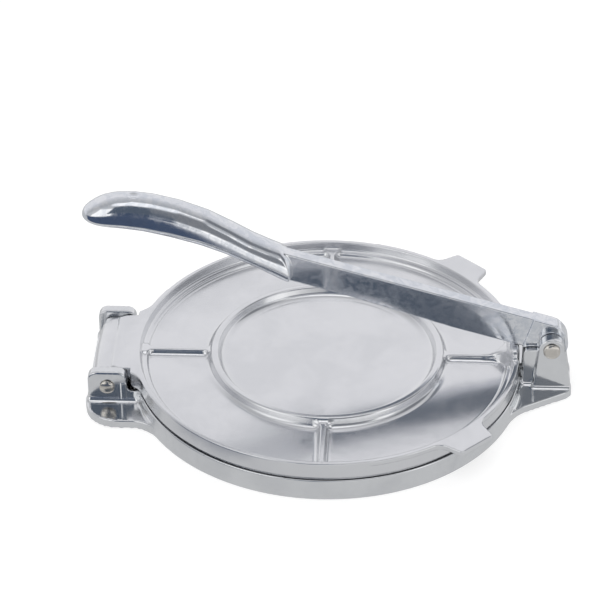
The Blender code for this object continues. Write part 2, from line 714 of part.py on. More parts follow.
def build_upper_plate(parts, cutters):
    """The upper casting: press plate, hinge lug, pressure block and finger tabs."""
    hinge = new_object('upper_plate_hinge', None, parts, place(-HINGE_OFFSET, 0.0, HINGE_HEIGHT))
    plate = plate_blank(parts, place(0.0, 0.0, 0.0))
    for piece in (hinge_lug(cutters), lug_shoulder(cutters)):
        combine(plate, piece, 'UNION')
    for angle_deg in (-TAB_ANGLE_DEG, TAB_ANGLE_DEG):
        combine(plate, finger_tab(angle_deg, cutters), 'UNION')
    combine(plate, recess_cutter(cutters), 'DIFFERENCE')
    for index in range(RIB_COUNT):
        combine(plate, plate_rib(index, cutters), 'UNION')
    combine(plate, pressure_block(cutters), 'UNION')
    bore = rod('lug_bore', HINGE_PIN_RADIUS + PIN_CLEARANCE, LUG_WIDTH + 2 * OVERRUN, cutters,
               place(-HINGE_OFFSET, 0.0, HINGE_HEIGHT) @ UPRIGHT)
    combine(plate, bore, 'DIFFERENCE')
    finish(plate, material('plate_casting', (0.62, 0.63, 0.66), 0.32))
    bpy.context.view_layer.update()
    plate.parent = hinge
    plate.matrix_parent_inverse = hinge.matrix_world.inverted()
    return plate


def lever_axes():
    """The lever's own axes: X from the pivot towards the grip, Z square to it and up."""
    slope = Matrix.Rotation(-LEVER_SLOPE, 4, 'Y')
    return place(PIVOT_OFFSET, 0.0, PIVOT_HEIGHT) @ turn(180.0) @ slope


def lever_bar(collection):
    """The straight bar, a little shallower towards the grip."""
    end = GRIP_START + BAR_INTO_GRIP
    outline = [
        (0.0, -BAR_DROP),
        (BAR_TAPER_START, -BAR_DROP),
        (min(BAR_TAPER_END, GRIP_START), -BAR_END_DROP),
        (end, -BAR_END_DROP / 2),
        (end, BAR_RISE),
        (0.0, BAR_RISE),
    ]
    return slab('lever', outline, BAR_WIDTH, collection, lever_axes() @ UPRIGHT)


def lever_boss(collection):
    """The thicker round end that turns on the pin."""
    outline = rounded([
        (BOSS_LENGTH, -BAR_DROP - SEAM_STEP, 0.0),
        (BOSS_LENGTH, BAR_RISE + SEAM_STEP, 0.0),
        (-BOSS_REACH, BAR_RISE + SEAM_STEP, BOSS_TOP_ROUND),
        (-BOSS_REACH, -BOSS_DROP, BOSS_BOTTOM_ROUND),
    ])
    return slab('lever_boss', outline, BOSS_WIDTH, collection, lever_axes() @ UPRIGHT)


def lever_grip(collection):
    """The wide crowned grip, which rises off the bar and turns down at its tip."""
    sections = []
    for along, width, top, bottom in GRIP_STATION_SHARES:
        x = GRIP_START + GRIP_LENGTH * along
        half = GRIP_WIDTH / 2 * width
        low = GRIP_RISE * bottom
        height = GRIP_RISE * top - low
        side = [(half * y_share, low + height * z_share) for y_share, z_share in GRIP_SECTION_SHARES]
        other = [(-y, z) for y, z in reversed(side[1:])]
        sections.append([(x, y, z) for y, z in side + other])
    return loft('lever_grip', sections, collection, lever_axes())


def build_lever(parts, cutters):
    """The lever: boss, bar and grip in one casting."""
    lever = lever_bar(parts)
    combine(lever, lever_boss(cutters), 'UNION')
    combine(lever, lever_grip(cutters), 'UNION')
    bore = rod('boss_bore', LEVER_PIN_RADIUS + PIN_CLEARANCE, BOSS_WIDTH + 2 * OVERRUN, cutters,
               place(PIVOT_OFFSET, 0.0, PIVOT_HEIGHT) @ UPRIGHT)
    combine(lever, bore, 'DIFFERENCE')
    finish(lever, material('lever_casting', (0.66, 0.67, 0.69), 0.16))
    return lever


def dome(radius, level, direction):
    """Half profile of a rivet's head, from its tip to its rim."""
    points = arc((0.0, 0.0), radius, 90.0, 0.0, CORNER_STEPS)
    rise = (HEAD_HEIGHT - HEAD_RIM) / radius
    return [(x, level + direction * (HEAD_RIM + z * rise)) for x, z in points]


def build_rivet(name, offset, height, radii, half_length, metal, collection):
    """A rivet across a pair of ears, with its head in front and its closed tail at the back."""
    shaft_radius, head_radius, tail_radius = radii
    seat = half_length + HEAD_CLEARANCE
    head = dome(head_radius, seat, 1.0)
    tail = dome(tail_radius, -seat, -1.0)
    profile = head + [(head_radius, seat), (shaft_radius, seat), (shaft_radius, -seat),
                      (tail_radius, -seat)] + list(reversed(tail))
    rivet = turned(name, profile, PIN_STEPS, collection, place(offset, 0.0, height) @ UPRIGHT)
    finish(rivet, metal)
    return rivet


def main():
    """Build the press."""
    clear_scene()
    parts = new_collection('tortilla_press')
    cutters = new_collection('cutters')
    build_base_plate(parts, cutters)
    build_upper_plate(parts, cutters)
    build_lever(parts, cutters)
    build_rivet('hinge_pin', -HINGE_OFFSET, HINGE_HEIGHT,
                (HINGE_PIN_RADIUS, HINGE_HEAD_RADIUS, HINGE_TAIL_RADIUS), HINGE_EAR_OUTER,
                material('hinge_rivet', (0.46, 0.43, 0.39), 0.30), parts)
    build_rivet('lever_pin', PIVOT_OFFSET, PIVOT_HEIGHT,
                (LEVER_PIN_RADIUS, LEVER_HEAD_RADIUS, LEVER_TAIL_RADIUS), CLEVIS_OUTER,
                material('lever_rivet', (0.50, 0.46, 0.42), 0.30), parts)


main()
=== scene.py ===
"""Tortilla press in polished cast aluminium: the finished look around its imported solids.

Each casting is described by the distance of any point to its surface, the way a pattern maker adds
and pares away stock, and is then drawn as one closed mesh with true fillets. Lengths are in
millimetres from the upright axis that both round plates share, until a mesh is made.
"""
from __future__ import annotations

import itertools
import json
import logging
import math
from dataclasses import dataclass
from enum import Enum
from typing import Callable, Optional, Sequence

import bmesh
import bpy
import numpy as np
from mathutils import Matrix, Vector


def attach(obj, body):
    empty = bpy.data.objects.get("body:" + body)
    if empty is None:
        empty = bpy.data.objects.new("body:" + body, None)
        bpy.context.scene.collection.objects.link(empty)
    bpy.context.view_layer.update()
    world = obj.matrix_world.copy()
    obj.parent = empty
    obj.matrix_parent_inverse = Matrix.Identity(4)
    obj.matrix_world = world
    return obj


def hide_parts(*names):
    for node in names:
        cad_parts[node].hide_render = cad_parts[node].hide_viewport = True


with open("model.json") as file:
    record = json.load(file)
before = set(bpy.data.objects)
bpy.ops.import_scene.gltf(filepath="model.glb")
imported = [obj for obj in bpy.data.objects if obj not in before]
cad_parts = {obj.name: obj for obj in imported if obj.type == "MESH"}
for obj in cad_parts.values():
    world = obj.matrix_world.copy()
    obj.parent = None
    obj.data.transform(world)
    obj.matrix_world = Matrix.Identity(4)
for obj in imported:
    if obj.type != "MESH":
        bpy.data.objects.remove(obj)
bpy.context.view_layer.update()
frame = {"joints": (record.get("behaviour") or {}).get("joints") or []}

LOG = logging.getLogger("tortilla_press")

Array = np.ndarray
Field = Callable[[Array], Array]

MM = 0.001
HINGE_OFFSET = 116.0
PROBE = 0.01
BLOCK = 4
STEEPEST = 2.0
SETTLING_PASSES = 4
LONGEST_MOVE = 0.4


def joint_place(name: str) -> Vector:
    """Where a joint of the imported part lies, in metres.

    Args:
        name: The joint's name in the record.

    Returns:
        A point on its axis.
    """
    return next(Vector(joint["pos_m"]) for joint in frame["joints"] if joint["name"] == name)


HINGE = joint_place("plate_lift")
PIVOT = joint_place("lever_swing")
AXIS_X = HINGE.x / MM + HINGE_OFFSET
PIVOT_OFFSET = PIVOT.x / MM - AXIS_X
HINGE_HEIGHT = HINGE.z / MM
PIVOT_HEIGHT = PIVOT.z / MM


# Adding and paring stock

def meet(a: Array, b: Array, radius: float | Array = 0.0) -> Array:
    """The stock that two shapes have in common, with the edge between them rounded.

    Args:
        a: Distances to the first surface, negative inside.
        b: Distances to the second surface.
        radius: Radius of the rounded edge.

    Returns:
        Distances to the shape that both hold.
    """
    corner = np.hypot(np.maximum(a + radius, 0.0), np.maximum(b + radius, 0.0))
    return np.minimum(-radius, np.maximum(a, b)) + corner


def join(a: Array, b: Array, radius: float | Array = 0.0) -> Array:
    """Two shapes cast together, with a fillet between them.

    Args:
        a: Distances to the first surface, negative inside.
        b: Distances to the second surface.
        radius: Radius of the fillet, one value or one for each point.

    Returns:
        Distances to the joined shape.
    """
    corner = np.hypot(np.maximum(radius - a, 0.0), np.maximum(radius - b, 0.0))
    return np.maximum(radius, np.minimum(a, b)) - corner


def ramp(value: Array, start: float, end: float) -> Array:
    """A smooth climb from 0 at the start to 1 at the end."""
    share = np.clip((value - start) / (end - start), 0.0, 1.0)
    return share * share * (3.0 - 2.0 * share)


def no_larger_than(step: Array, radius: float) -> Array:
    """A fillet's radius, held down where the step that it fills is small."""
    return np.clip(step, 0.0, radius)


@dataclass(frozen=True)
class Run:
    """A stretch of a grid with an even step."""

    start: float
    end: float
    step: float

    def nodes(self) -> Array:
        """The nodes of the run, without its last."""
        count = max(1, round((self.end - self.start) / self.step))
        return np.linspace(self.start, self.end, count, endpoint=False)


def graded(runs: Sequence[Run]) -> Array:
    """The nodes of several runs on end.

    Args:
        runs: The runs, each starting where the last one ended.

    Returns:
        All the nodes, in order.
    """
    return np.concatenate([run.nodes() for run in runs] + [[runs[-1].end]])


def centred_angles(features: Sequence[tuple[float, float, float]], coarse: float) -> Array:
    """Angles once round, with finer steps about each feature.

    Args:
        features: The middle, half width and step of each finer stretch, in degrees, in order.
        coarse: The step between them.

    Returns:
        Angles in radians, the last one a full turn past the first.
    """
    runs = []
    mark = features[0][0] - features[0][1]
    finish = mark + 360.0
    for middle, half, step in features:
        if middle - half > mark:
            runs.append(Run(mark, middle - half, coarse))
        runs.append(Run(middle - half, middle + half, step))
        mark = middle + half
    if finish > mark:
        runs.append(Run(mark, finish, coarse))
    return np.radians(graded(runs))


@dataclass
class Lattice:
    """A grid of nodes to draw a surface through, straight or turned about the plates' axis."""

    first: Array
    second: Array
    third: Array
    turned: bool = False

    def rows(self) -> list[Array]:
        """The three rows of steps."""
        return [self.first, self.second, self.third]

    def place(self, first: Array, second: Array, third: Array) -> Array:
        """Points of the grid's own coordinates, as x, y and z."""
        if self.turned:
            return np.stack([first * np.cos(second), first * np.sin(second), third], axis=-1)
        return np.stack([first, second, third], axis=-1)

    def sample(self, field: Field) -> tuple[Array, Array]:
        """Distances at the nodes that lie near the surface.

        Args:
            field: The casting's distance function.

        Returns:
            The distances on the whole grid, and which of them were worked out.
        """
        rows = self.rows()
        middles, halves, starts = [], [], []
        for row in rows:
            low = np.arange(0, len(row) - 1, BLOCK)
            high = np.minimum(low + BLOCK, len(row) - 1)
            starts.append(low)
            middles.append((row[low] + row[high]) / 2)
            halves.append((row[high] - row[low]) / 2)
        centre = np.meshgrid(*middles, indexing="ij")
        half = np.meshgrid(*halves, indexing="ij")
        across = half[1] * (centre[0] + half[0]) if self.turned else half[1]
        reach = np.sqrt(half[0] ** 2 + across ** 2 + half[2] ** 2)
        far = field(self.place(*centre).reshape(-1, 3)).reshape(reach.shape)
        active = np.nonzero(np.abs(far) < STEEPEST * reach)
        known = np.zeros([len(row) for row in rows], bool)
        for offset in itertools.product(range(BLOCK + 1), repeat=3):
            spots = [np.minimum(starts[axis][active[axis]] + offset[axis], len(rows[axis]) - 1)
                     for axis in range(3)]
            known[tuple(spots)] = True
        if self.turned:
            known[:, 0] |= known[:, -1]
            known[:, -1] = False
        nodes = np.nonzero(known)
        values = np.full(known.shape, np.inf)
        values[nodes] = field(self.place(*[row[spot] for row, spot in zip(rows, nodes)]))
        if self.turned:
            known[:, -1] = known[:, 0]
            values[:, -1] = values[:, 0]
        return values, known


CORNERS = np.array(list(itertools.product((0, 1), repeat=3)))
CELL_EDGES = [(a, b) for a in range(8) for b in range(a + 1, 8) if abs(CORNERS[a] - CORNERS[b]).sum() == 1]


def cell_points(lattice: Lattice, values: Array, cells: Array) -> Array:
    """One point in each crossed cell: the mean of where the surface cuts its edges."""
    at = cells[:, None, :] + CORNERS[None]
    level = values[at[..., 0], at[..., 1], at[..., 2]]
    corner = lattice.place(*[row[at[..., axis]] for axis, row in enumerate(lattice.rows())])
    total = np.zeros((len(cells), 3))
    count = np.zeros(len(cells))
    for a, b in CELL_EDGES:
        cut = (level[:, a] < 0) != (level[:, b] < 0)
        span = np.where(cut, level[:, a] - level[:, b], 1.0)
        share = np.where(cut, level[:, a] / span, 0.0)
        point = corner[:, a] + (corner[:, b] - corner[:, a]) * share[:, None]
        total += np.where(cut[:, None], point, 0.0)
        count += cut
    return total / count[:, None]


def grid_faces(lattice: Lattice, inside: Array, known: Array, number: Array) -> Array:
    """A quad for each grid edge that the surface cuts, between the four cells about it."""
    padded = np.full([size + 2 for size in number.shape], -1)
    padded[1:-1, 1:-1, 1:-1] = number
    if lattice.turned:
        padded[1:-1, 0, 1:-1] = number[:, -1]
        padded[1:-1, -1, 1:-1] = number[:, 0]
    quads = []
    for axis in range(3):
        here = [slice(None)] * 3
        ahead = [slice(None)] * 3
        here[axis] = slice(0, -1)
        ahead[axis] = slice(1, None)
        if lattice.turned and axis != 1:
            here[1] = ahead[1] = slice(0, -1)
        low, high = inside[tuple(here)], inside[tuple(ahead)]
        cut = (low != high) & known[tuple(here)] & known[tuple(ahead)]
        spots = np.array(np.nonzero(cut))
        outward = low[cut]
        base = spots.copy()
        base[axis] += 1
        ring = []
        for up, over in ((0, 0), (1, 0), (1, 1), (0, 1)):
            spot = base.copy()
            spot[(axis + 1) % 3] += up
            spot[(axis + 2) % 3] += over
            ring.append(padded[tuple(spot)])
        quad = np.stack(ring, axis=1)
        quads.append(np.where(outward[:, None], quad, quad[:, ::-1]))
    faces = np.concatenate(quads)
    return faces[(faces >= 0).all(axis=1)]


def axis_caps(inside: Array, number: Array) -> list[list[int]]:
    """The faces that close a turned grid at its axis."""
    caps = []
    for level in range(number.shape[2]):
        if inside[0, 0, level] != inside[0, 0, level + 1]:
            ring = [int(spot) for spot in number[0, :, level]]
            caps.append(ring if inside[0, 0, level] else ring[::-1])
    return caps


def slopes(field: Field, points: Array) -> Array:
    """The field's gradient at each point, by central differences."""
    result = np.empty_like(points)
    for axis in range(3):
        step = np.zeros(3)
        step[axis] = PROBE
        result[:, axis] = (field(points + step) - field(points - step)) / (2 * PROBE)
    return result


def settle(field: Field, points: Array) -> Array:
    """Move points onto the surface.

    Args:
        field: The casting's distance function.
        points: Points close to the surface.

    Returns:
        The points on the surface.
    """
    for _ in range(SETTLING_PASSES):
        gradient = slopes(field, points)
        steep = np.maximum((gradient ** 2).sum(axis=1), 0.05)
        move = gradient * (field(points) / steep)[:, None]
        length = np.linalg.norm(move, axis=1)
        move *= np.minimum(1.0, LONGEST_MOVE / np.maximum(length, LONGEST_MOVE / 100))[:, None]
        points = points - move
    return points


def draw_casting(name: str, field: Field, lattice: Lattice, matrix: Matrix) -> bpy.types.Object:
    """Draw the surface of a casting as one closed, smooth-shaded mesh.

    Args:
        name: The piece's name.
        field: The casting's distance function, in millimetres.
        lattice: The grid to draw it through.
        matrix: From the field's millimetres to the scene's metres.

    Returns:
        The new object.
    """
    values, known = lattice.sample(field)
    inside = values < 0
    count = np.zeros([size - 1 for size in inside.shape], np.int8)
    whole = np.ones(count.shape, bool)
    for corner in CORNERS:
        window = tuple(slice(spot, spot + size) for spot, size in zip(corner, count.shape))
        count += inside[window]
        whole &= known[window]
    crossed = whole & (count > 0) & (count < 8)
    cells = np.argwhere(crossed)
    number = np.full(crossed.shape, -1)
    number[crossed] = np.arange(len(cells))
    points = settle(field, cell_points(lattice, values, cells))
    faces = grid_faces(lattice, inside, known, number).tolist()
    if lattice.turned:
        faces += axis_caps(inside, number)
    mesh = bpy.data.meshes.new(name)
    mesh.from_pydata(points, [], faces)
    shade_by_field(mesh, field)
    mesh.transform(matrix)
    piece = bpy.data.objects.new(name, mesh)
    bpy.context.scene.collection.objects.link(piece)
    return piece


def shade_by_field(mesh: bpy.types.Mesh, field: Field) -> None:
    """Give each corner the true direction of the surface there."""
    places = np.empty(len(mesh.vertices) * 3)
    mesh.vertices.foreach_get("co", places)
    gradient = slopes(field, places.reshape(-1, 3))
    gradient /= np.maximum(np.linalg.norm(gradient, axis=1), 1e-9)[:, None]
    mesh.shade_smooth()
    mesh.normals_split_custom_set_from_vertices(gradient.tolist())


def from_axis() -> Matrix:
    """From millimetres about the plates' axis to the scene."""
    return Matrix.Translation((AXIS_X * MM, 0.0, 0.0)) @ Matrix.Scale(MM, 4)


# The castings

@dataclass(frozen=True)
class WebSizes:
    """The thin web of a plate with its ring and ribs, alike on both plates."""

    ring_radius: float = 60.5
    ring_height: float = 5.0
    ring_foot: float = 7.4
    ring_crest: float = 3.2
    rib_height: float = 3.0
    rib_width: float = 2.6
    rib_spread: float = 1.2
    rib_flare: float = 4.5
    rib_bulge: float = 2.4
    fillet: float = 1.9
    edge: float = 0.7

    def stock(self, p: Array, floor: float, side: float, rim: Array) -> Array:
        """Ring and ribs on one side of a web, with the web's own face.

        Args:
            p: Points.
            floor: Level of the web's face.
            side: 1.0 for a face that looks up, -1.0 for one that looks down.
            rim: Distances to the wall that the ribs run into, negative inside it.

        Returns:
            Distances to all that lies under this face, which still has to be trimmed below.
        """
        x, y = p[:, 0], p[:, 1]
        radius = np.hypot(x, y)
        height = (p[:, 2] - floor) * side
        slope = math.atan2((self.ring_foot - self.ring_crest) / 2, self.ring_height)
        off = np.abs(radius - self.ring_radius) - (self.ring_foot + self.ring_crest) / 4
        flank = off * math.cos(slope) + (height - self.ring_height / 2) * math.sin(slope)
        ring = meet(flank, height - self.ring_height, self.edge)
        along = np.maximum(np.abs(x), np.abs(y))
        across = np.minimum(np.abs(x), np.abs(y))
        start = along - self.ring_radius - self.ring_foot / 2 + 1.4
        end = rim + 0.6
        near = np.clip(1.0 - np.minimum(start, end) / self.rib_flare, 0.0, 1.0)
        plan = across - self.rib_width / 2 - self.rib_bulge * near ** 2.2
        lean = math.atan2(self.rib_spread, self.rib_height)
        sides = plan * math.cos(lean) + (height - self.rib_height) * math.sin(lean)
        rib = meet(sides, height - self.rib_height, self.edge)
        rib = np.maximum(rib, self.ring_radius - along)
        web = join(height, ring, self.fillet)
        return join(web, rib, self.fillet)


@dataclass(frozen=True)
class UpperPlateSizes:
    """Sizes of the upper plate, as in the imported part."""

    radius: float = 103.6
    lip_outer: float = 103.3
    lip_inner: float = 100.8
    lip_foot: float = 99.9
    ledge_inner: float = 96.9
    face_radius: float = 100.5
    face_level: float = 11.8
    wall_level: float = 12.9
    floor_level: float = 15.0
    ledge_level: float = 16.7
    lip_level: float = 21.8
    edge: float = 0.6
    roll_radius: float = 8.75
    roll_bow: float = 1.1
    brow: float = 3.5
    lug_half: float = 24.8
    shoulder_half: float = 27.4
    shoulder_reach: float = 104.0
    shoulder_fillet: float = 9.0
    tab_angle_deg: float = 46.4
    tab_reach: float = 115.2
    tab_thickness: float = 3.0
    tab_tip: float = 22.2
    tab_neck: float = 26.8
    tab_neck_reach: float = 106.2
    tab_fillet: float = 3.5
    tab_corner: float = 1.8
    block_outer: float = 102.9
    block_inner: float = 97.3
    block_foot: float = 22.0
    block_top: float = 12.0
    block_level: float = 26.5
    gusset_reach: float = 86.3
    bore: float = 2.8


class UpperPlate:
    """The upper casting: press plate, hinge lug, pressure block and finger tabs."""

    def __init__(self, sizes: UpperPlateSizes = UpperPlateSizes(), web: WebSizes = WebSizes()) -> None:
        """Take the sizes of the plate and of its ring and ribs."""
        self.sizes = sizes
        self.web = web

    def wall(self, p: Array) -> Array:
        """The rim's outer wall, which leans in by a hair."""
        s = self.sizes
        radius = np.hypot(p[:, 0], p[:, 1])
        lean = (s.radius - s.lip_outer) / (s.lip_level - s.wall_level)
        return radius - s.radius + lean * (p[:, 2] - s.wall_level)

    def lug(self, p: Array) -> Array:
        """The lug between the hinge ears, rolled round the pin, and its wider shoulder."""
        s = self.sizes
        x, y, z = p[:, 0], np.abs(p[:, 1]), p[:, 2]
        bow = s.roll_bow * (y / s.lug_half) ** 2
        roll = np.hypot(x + HINGE_OFFSET, z - HINGE_HEIGHT) - s.roll_radius + bow
        slab = np.maximum(np.maximum(s.wall_level - z, -HINGE_OFFSET - x), x + 90.0)
        side = np.minimum(roll, slab)
        lug = meet(side, y - s.lug_half, s.edge)
        shoulder = meet(-s.shoulder_reach - x, y - s.shoulder_half, 1.2)
        rim = np.hypot(x, y) - s.radius
        shoulder = meet(join(shoulder, rim, s.shoulder_fillet), -s.shoulder_reach - x, s.edge)
        shoulder = np.where(x < -60.0, shoulder, rim)
        return np.minimum(lug, np.maximum(np.maximum(shoulder, s.wall_level - z), x + 90.0))

    def tab(self, p: Array, side: float) -> Array:
        """One finger tab, level with the top of the lip."""
        s = self.sizes
        angle = math.radians(s.tab_angle_deg) * side
        out = p[:, 0] * math.cos(angle) + p[:, 1] * math.sin(angle)
        across = np.abs(p[:, 1] * math.cos(angle) - p[:, 0] * math.sin(angle))
        taper = math.atan2((s.tab_neck - s.tab_tip) / 2, s.tab_reach - s.tab_neck_reach)
        flank = (across - s.tab_tip / 2) * math.cos(taper) + (out - s.tab_reach) * math.sin(taper)
        plan = meet(flank, out - s.tab_reach, s.tab_corner)
        plan = join(plan, np.hypot(p[:, 0], p[:, 1]) - s.radius, s.tab_fillet)
        plan = np.maximum(plan, 90.0 - out)
        return meet(plan, s.lip_level - s.tab_thickness - p[:, 2], s.edge)

    def block(self, p: Array) -> Array:
        """The pressure block on the rim under the lever, with its gusset along the rib."""
        s = self.sizes
        x, y, z = p[:, 0], np.abs(p[:, 1]), p[:, 2]
        lean = math.atan2((s.block_foot - s.block_top) / 2, s.block_level - s.floor_level)
        flank = (y - s.block_top / 2) * math.cos(lean) + (z - s.block_level) * math.sin(lean)
        body = meet(meet(x - s.block_outer, s.block_inner - x, 0.6), flank, 0.8)
        body = meet(body, z - s.block_level, 0.8)
        run = s.block_inner + 1.0 - s.gusset_reach
        share = np.clip((x - s.gusset_reach) / run, 0.0, 1.1)
        spread = self.web.rib_width / 2 + (s.block_foot / 2 - 1.5) * share ** 2.3
        top = s.floor_level + self.web.rib_height - 0.4 + (s.block_level - s.floor_level - 3.2) * share ** 1.1
        slant = math.atan2(s.block_level - s.floor_level - 3.0, run)
        rise = (z - top) * math.cos(slant)
        narrow = (z - s.floor_level) * 0.34 * share
        gusset = meet((y - spread + narrow) * 0.85, rise, 1.6)
        gusset = meet(gusset, np.maximum(s.gusset_reach - 2.0 - x, x - s.block_outer + 1.0), 0.5)
        return join(body, gusset, 1.5)

    def field(self, p: Array) -> Array:
        """Distance to the whole casting."""
        s = self.sizes
        radius = np.hypot(p[:, 0], p[:, 1])
        z = p[:, 2]
        lean = (s.lip_inner - s.lip_foot) / (s.lip_level - s.ledge_level)
        inner = s.lip_inner - lean * (s.lip_level - z)
        rim = meet((inner - radius) / math.hypot(1.0, lean), z - s.lip_level, s.edge)
        ledge = meet(s.ledge_inner - radius, z - s.ledge_level, 0.7)
        block = self.block(p)
        top = join(self.web.stock(p, s.floor_level, 1.0, s.ledge_inner - radius), ledge, 1.6)
        top = join(top, rim, 1.3)
        top = join(top, block, 1.4)
        wall = self.wall(p)
        outer = wall
        for side in (-1.0, 1.0):
            tab = self.tab(p, side)
            outer = join(outer, tab, no_larger_than(s.lip_level - z, 0.0))
        outer = np.minimum(outer, self.lug(p))
        outer = np.where(radius < 80.0, wall, outer)
        under = join(s.wall_level - z, meet(radius - s.face_radius, s.face_level - z, 0.35), 0.4)
        bow = s.roll_bow * (p[:, 1] / s.lug_half) ** 2
        lug_floor = np.hypot(p[:, 0] + HINGE_OFFSET, z - HINGE_HEIGHT) - s.roll_radius + bow
        under = np.where(p[:, 0] < -s.shoulder_reach + 1.0, np.minimum(under, lug_floor), under)
        brow = s.edge + s.brow * ramp(-p[:, 0], s.shoulder_reach + 5.0, HINGE_OFFSET)
        body = meet(meet(top, outer, brow), under, s.edge)
        bore = np.hypot(p[:, 0] + HINGE_OFFSET, z - HINGE_HEIGHT) - s.bore
        return meet(body, -bore, 0.3)

    def axes(self) -> Matrix:
        """From millimetres about the plates' axis to the scene."""
        return from_axis()

    def lattice(self) -> Lattice:
        """The grid to draw it through."""
        radii = graded([Run(0.0, 56.0, 5.0), Run(56.0, 65.5, 0.55), Run(65.5, 84.0, 3.0),
                        Run(84.0, 92.0, 1.2), Run(92.0, 104.8, 0.53), Run(104.8, 127.8, 0.66)])
        tab = self.sizes.tab_angle_deg
        angles = centred_angles([(0.0, 8.0, 0.36), (tab, 9.0, 0.5), (90.0, 2.6, 0.32),
                                 (166.0, 6.0, 0.4), (180.0, 2.6, 0.32), (194.0, 6.0, 0.4),
                                 (270.0, 2.6, 0.32), (360.0 - tab, 9.0, 0.5)], 1.15)
        return Lattice(radii, angles, graded([Run(5.0, 11.3, 0.6), Run(11.3, 22.4, 0.45),
                                              Run(22.4, 27.6, 0.5)]), turned=True)


@dataclass(frozen=True)
class BasePlateSizes:
    """Sizes of the lower plate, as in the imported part."""

    radius: float = 104.7
    lean: float = 0.7
    height: float = 11.4
    skirt_inner: float = 101.2
    web_level: float = 8.2
    edge: float = 0.6
    plinth_reach: float = 127.5
    plinth_half: float = 49.0
    plinth_height: float = 5.0
    plinth_corner: float = 18.0
    plinth_fillet: float = 8.0
    ear_inner: float = 25.5
    ear_outer: float = 31.4
    ear_length: float = 20.6
    ear_top: float = 23.3
    ear_corner: float = 4.9
    ear_edge: float = 0.95
    brace: float = 2.5
    brace_reach: float = 7.0
    brace_level: float = 11.1
    brace_fillet: float = 4.0
    tongue_reach: float = 131.5
    tongue_tip: float = 12.9
    tongue_root_reach: float = 100.5
    tongue_root: float = 31.2
    tongue_height: float = 4.5
    tongue_corner: float = 3.5
    tongue_fillet: float = 5.0
    clevis_inner: float = 5.0
    clevis_outer: float = 11.2
    clevis_top: float = 35.9
    clevis_top_half: float = 6.2
    clevis_back: float = 9.0
    clevis_front: float = 11.2
    cheek_inner: float = 5.1
    cheek_outer: float = 8.1
    cheek_reach: float = 14.6
    cheek_level: float = 27.0
    cheek_corner: float = 2.5
    hinge_bore: float = 2.8
    pivot_bore: float = 3.1


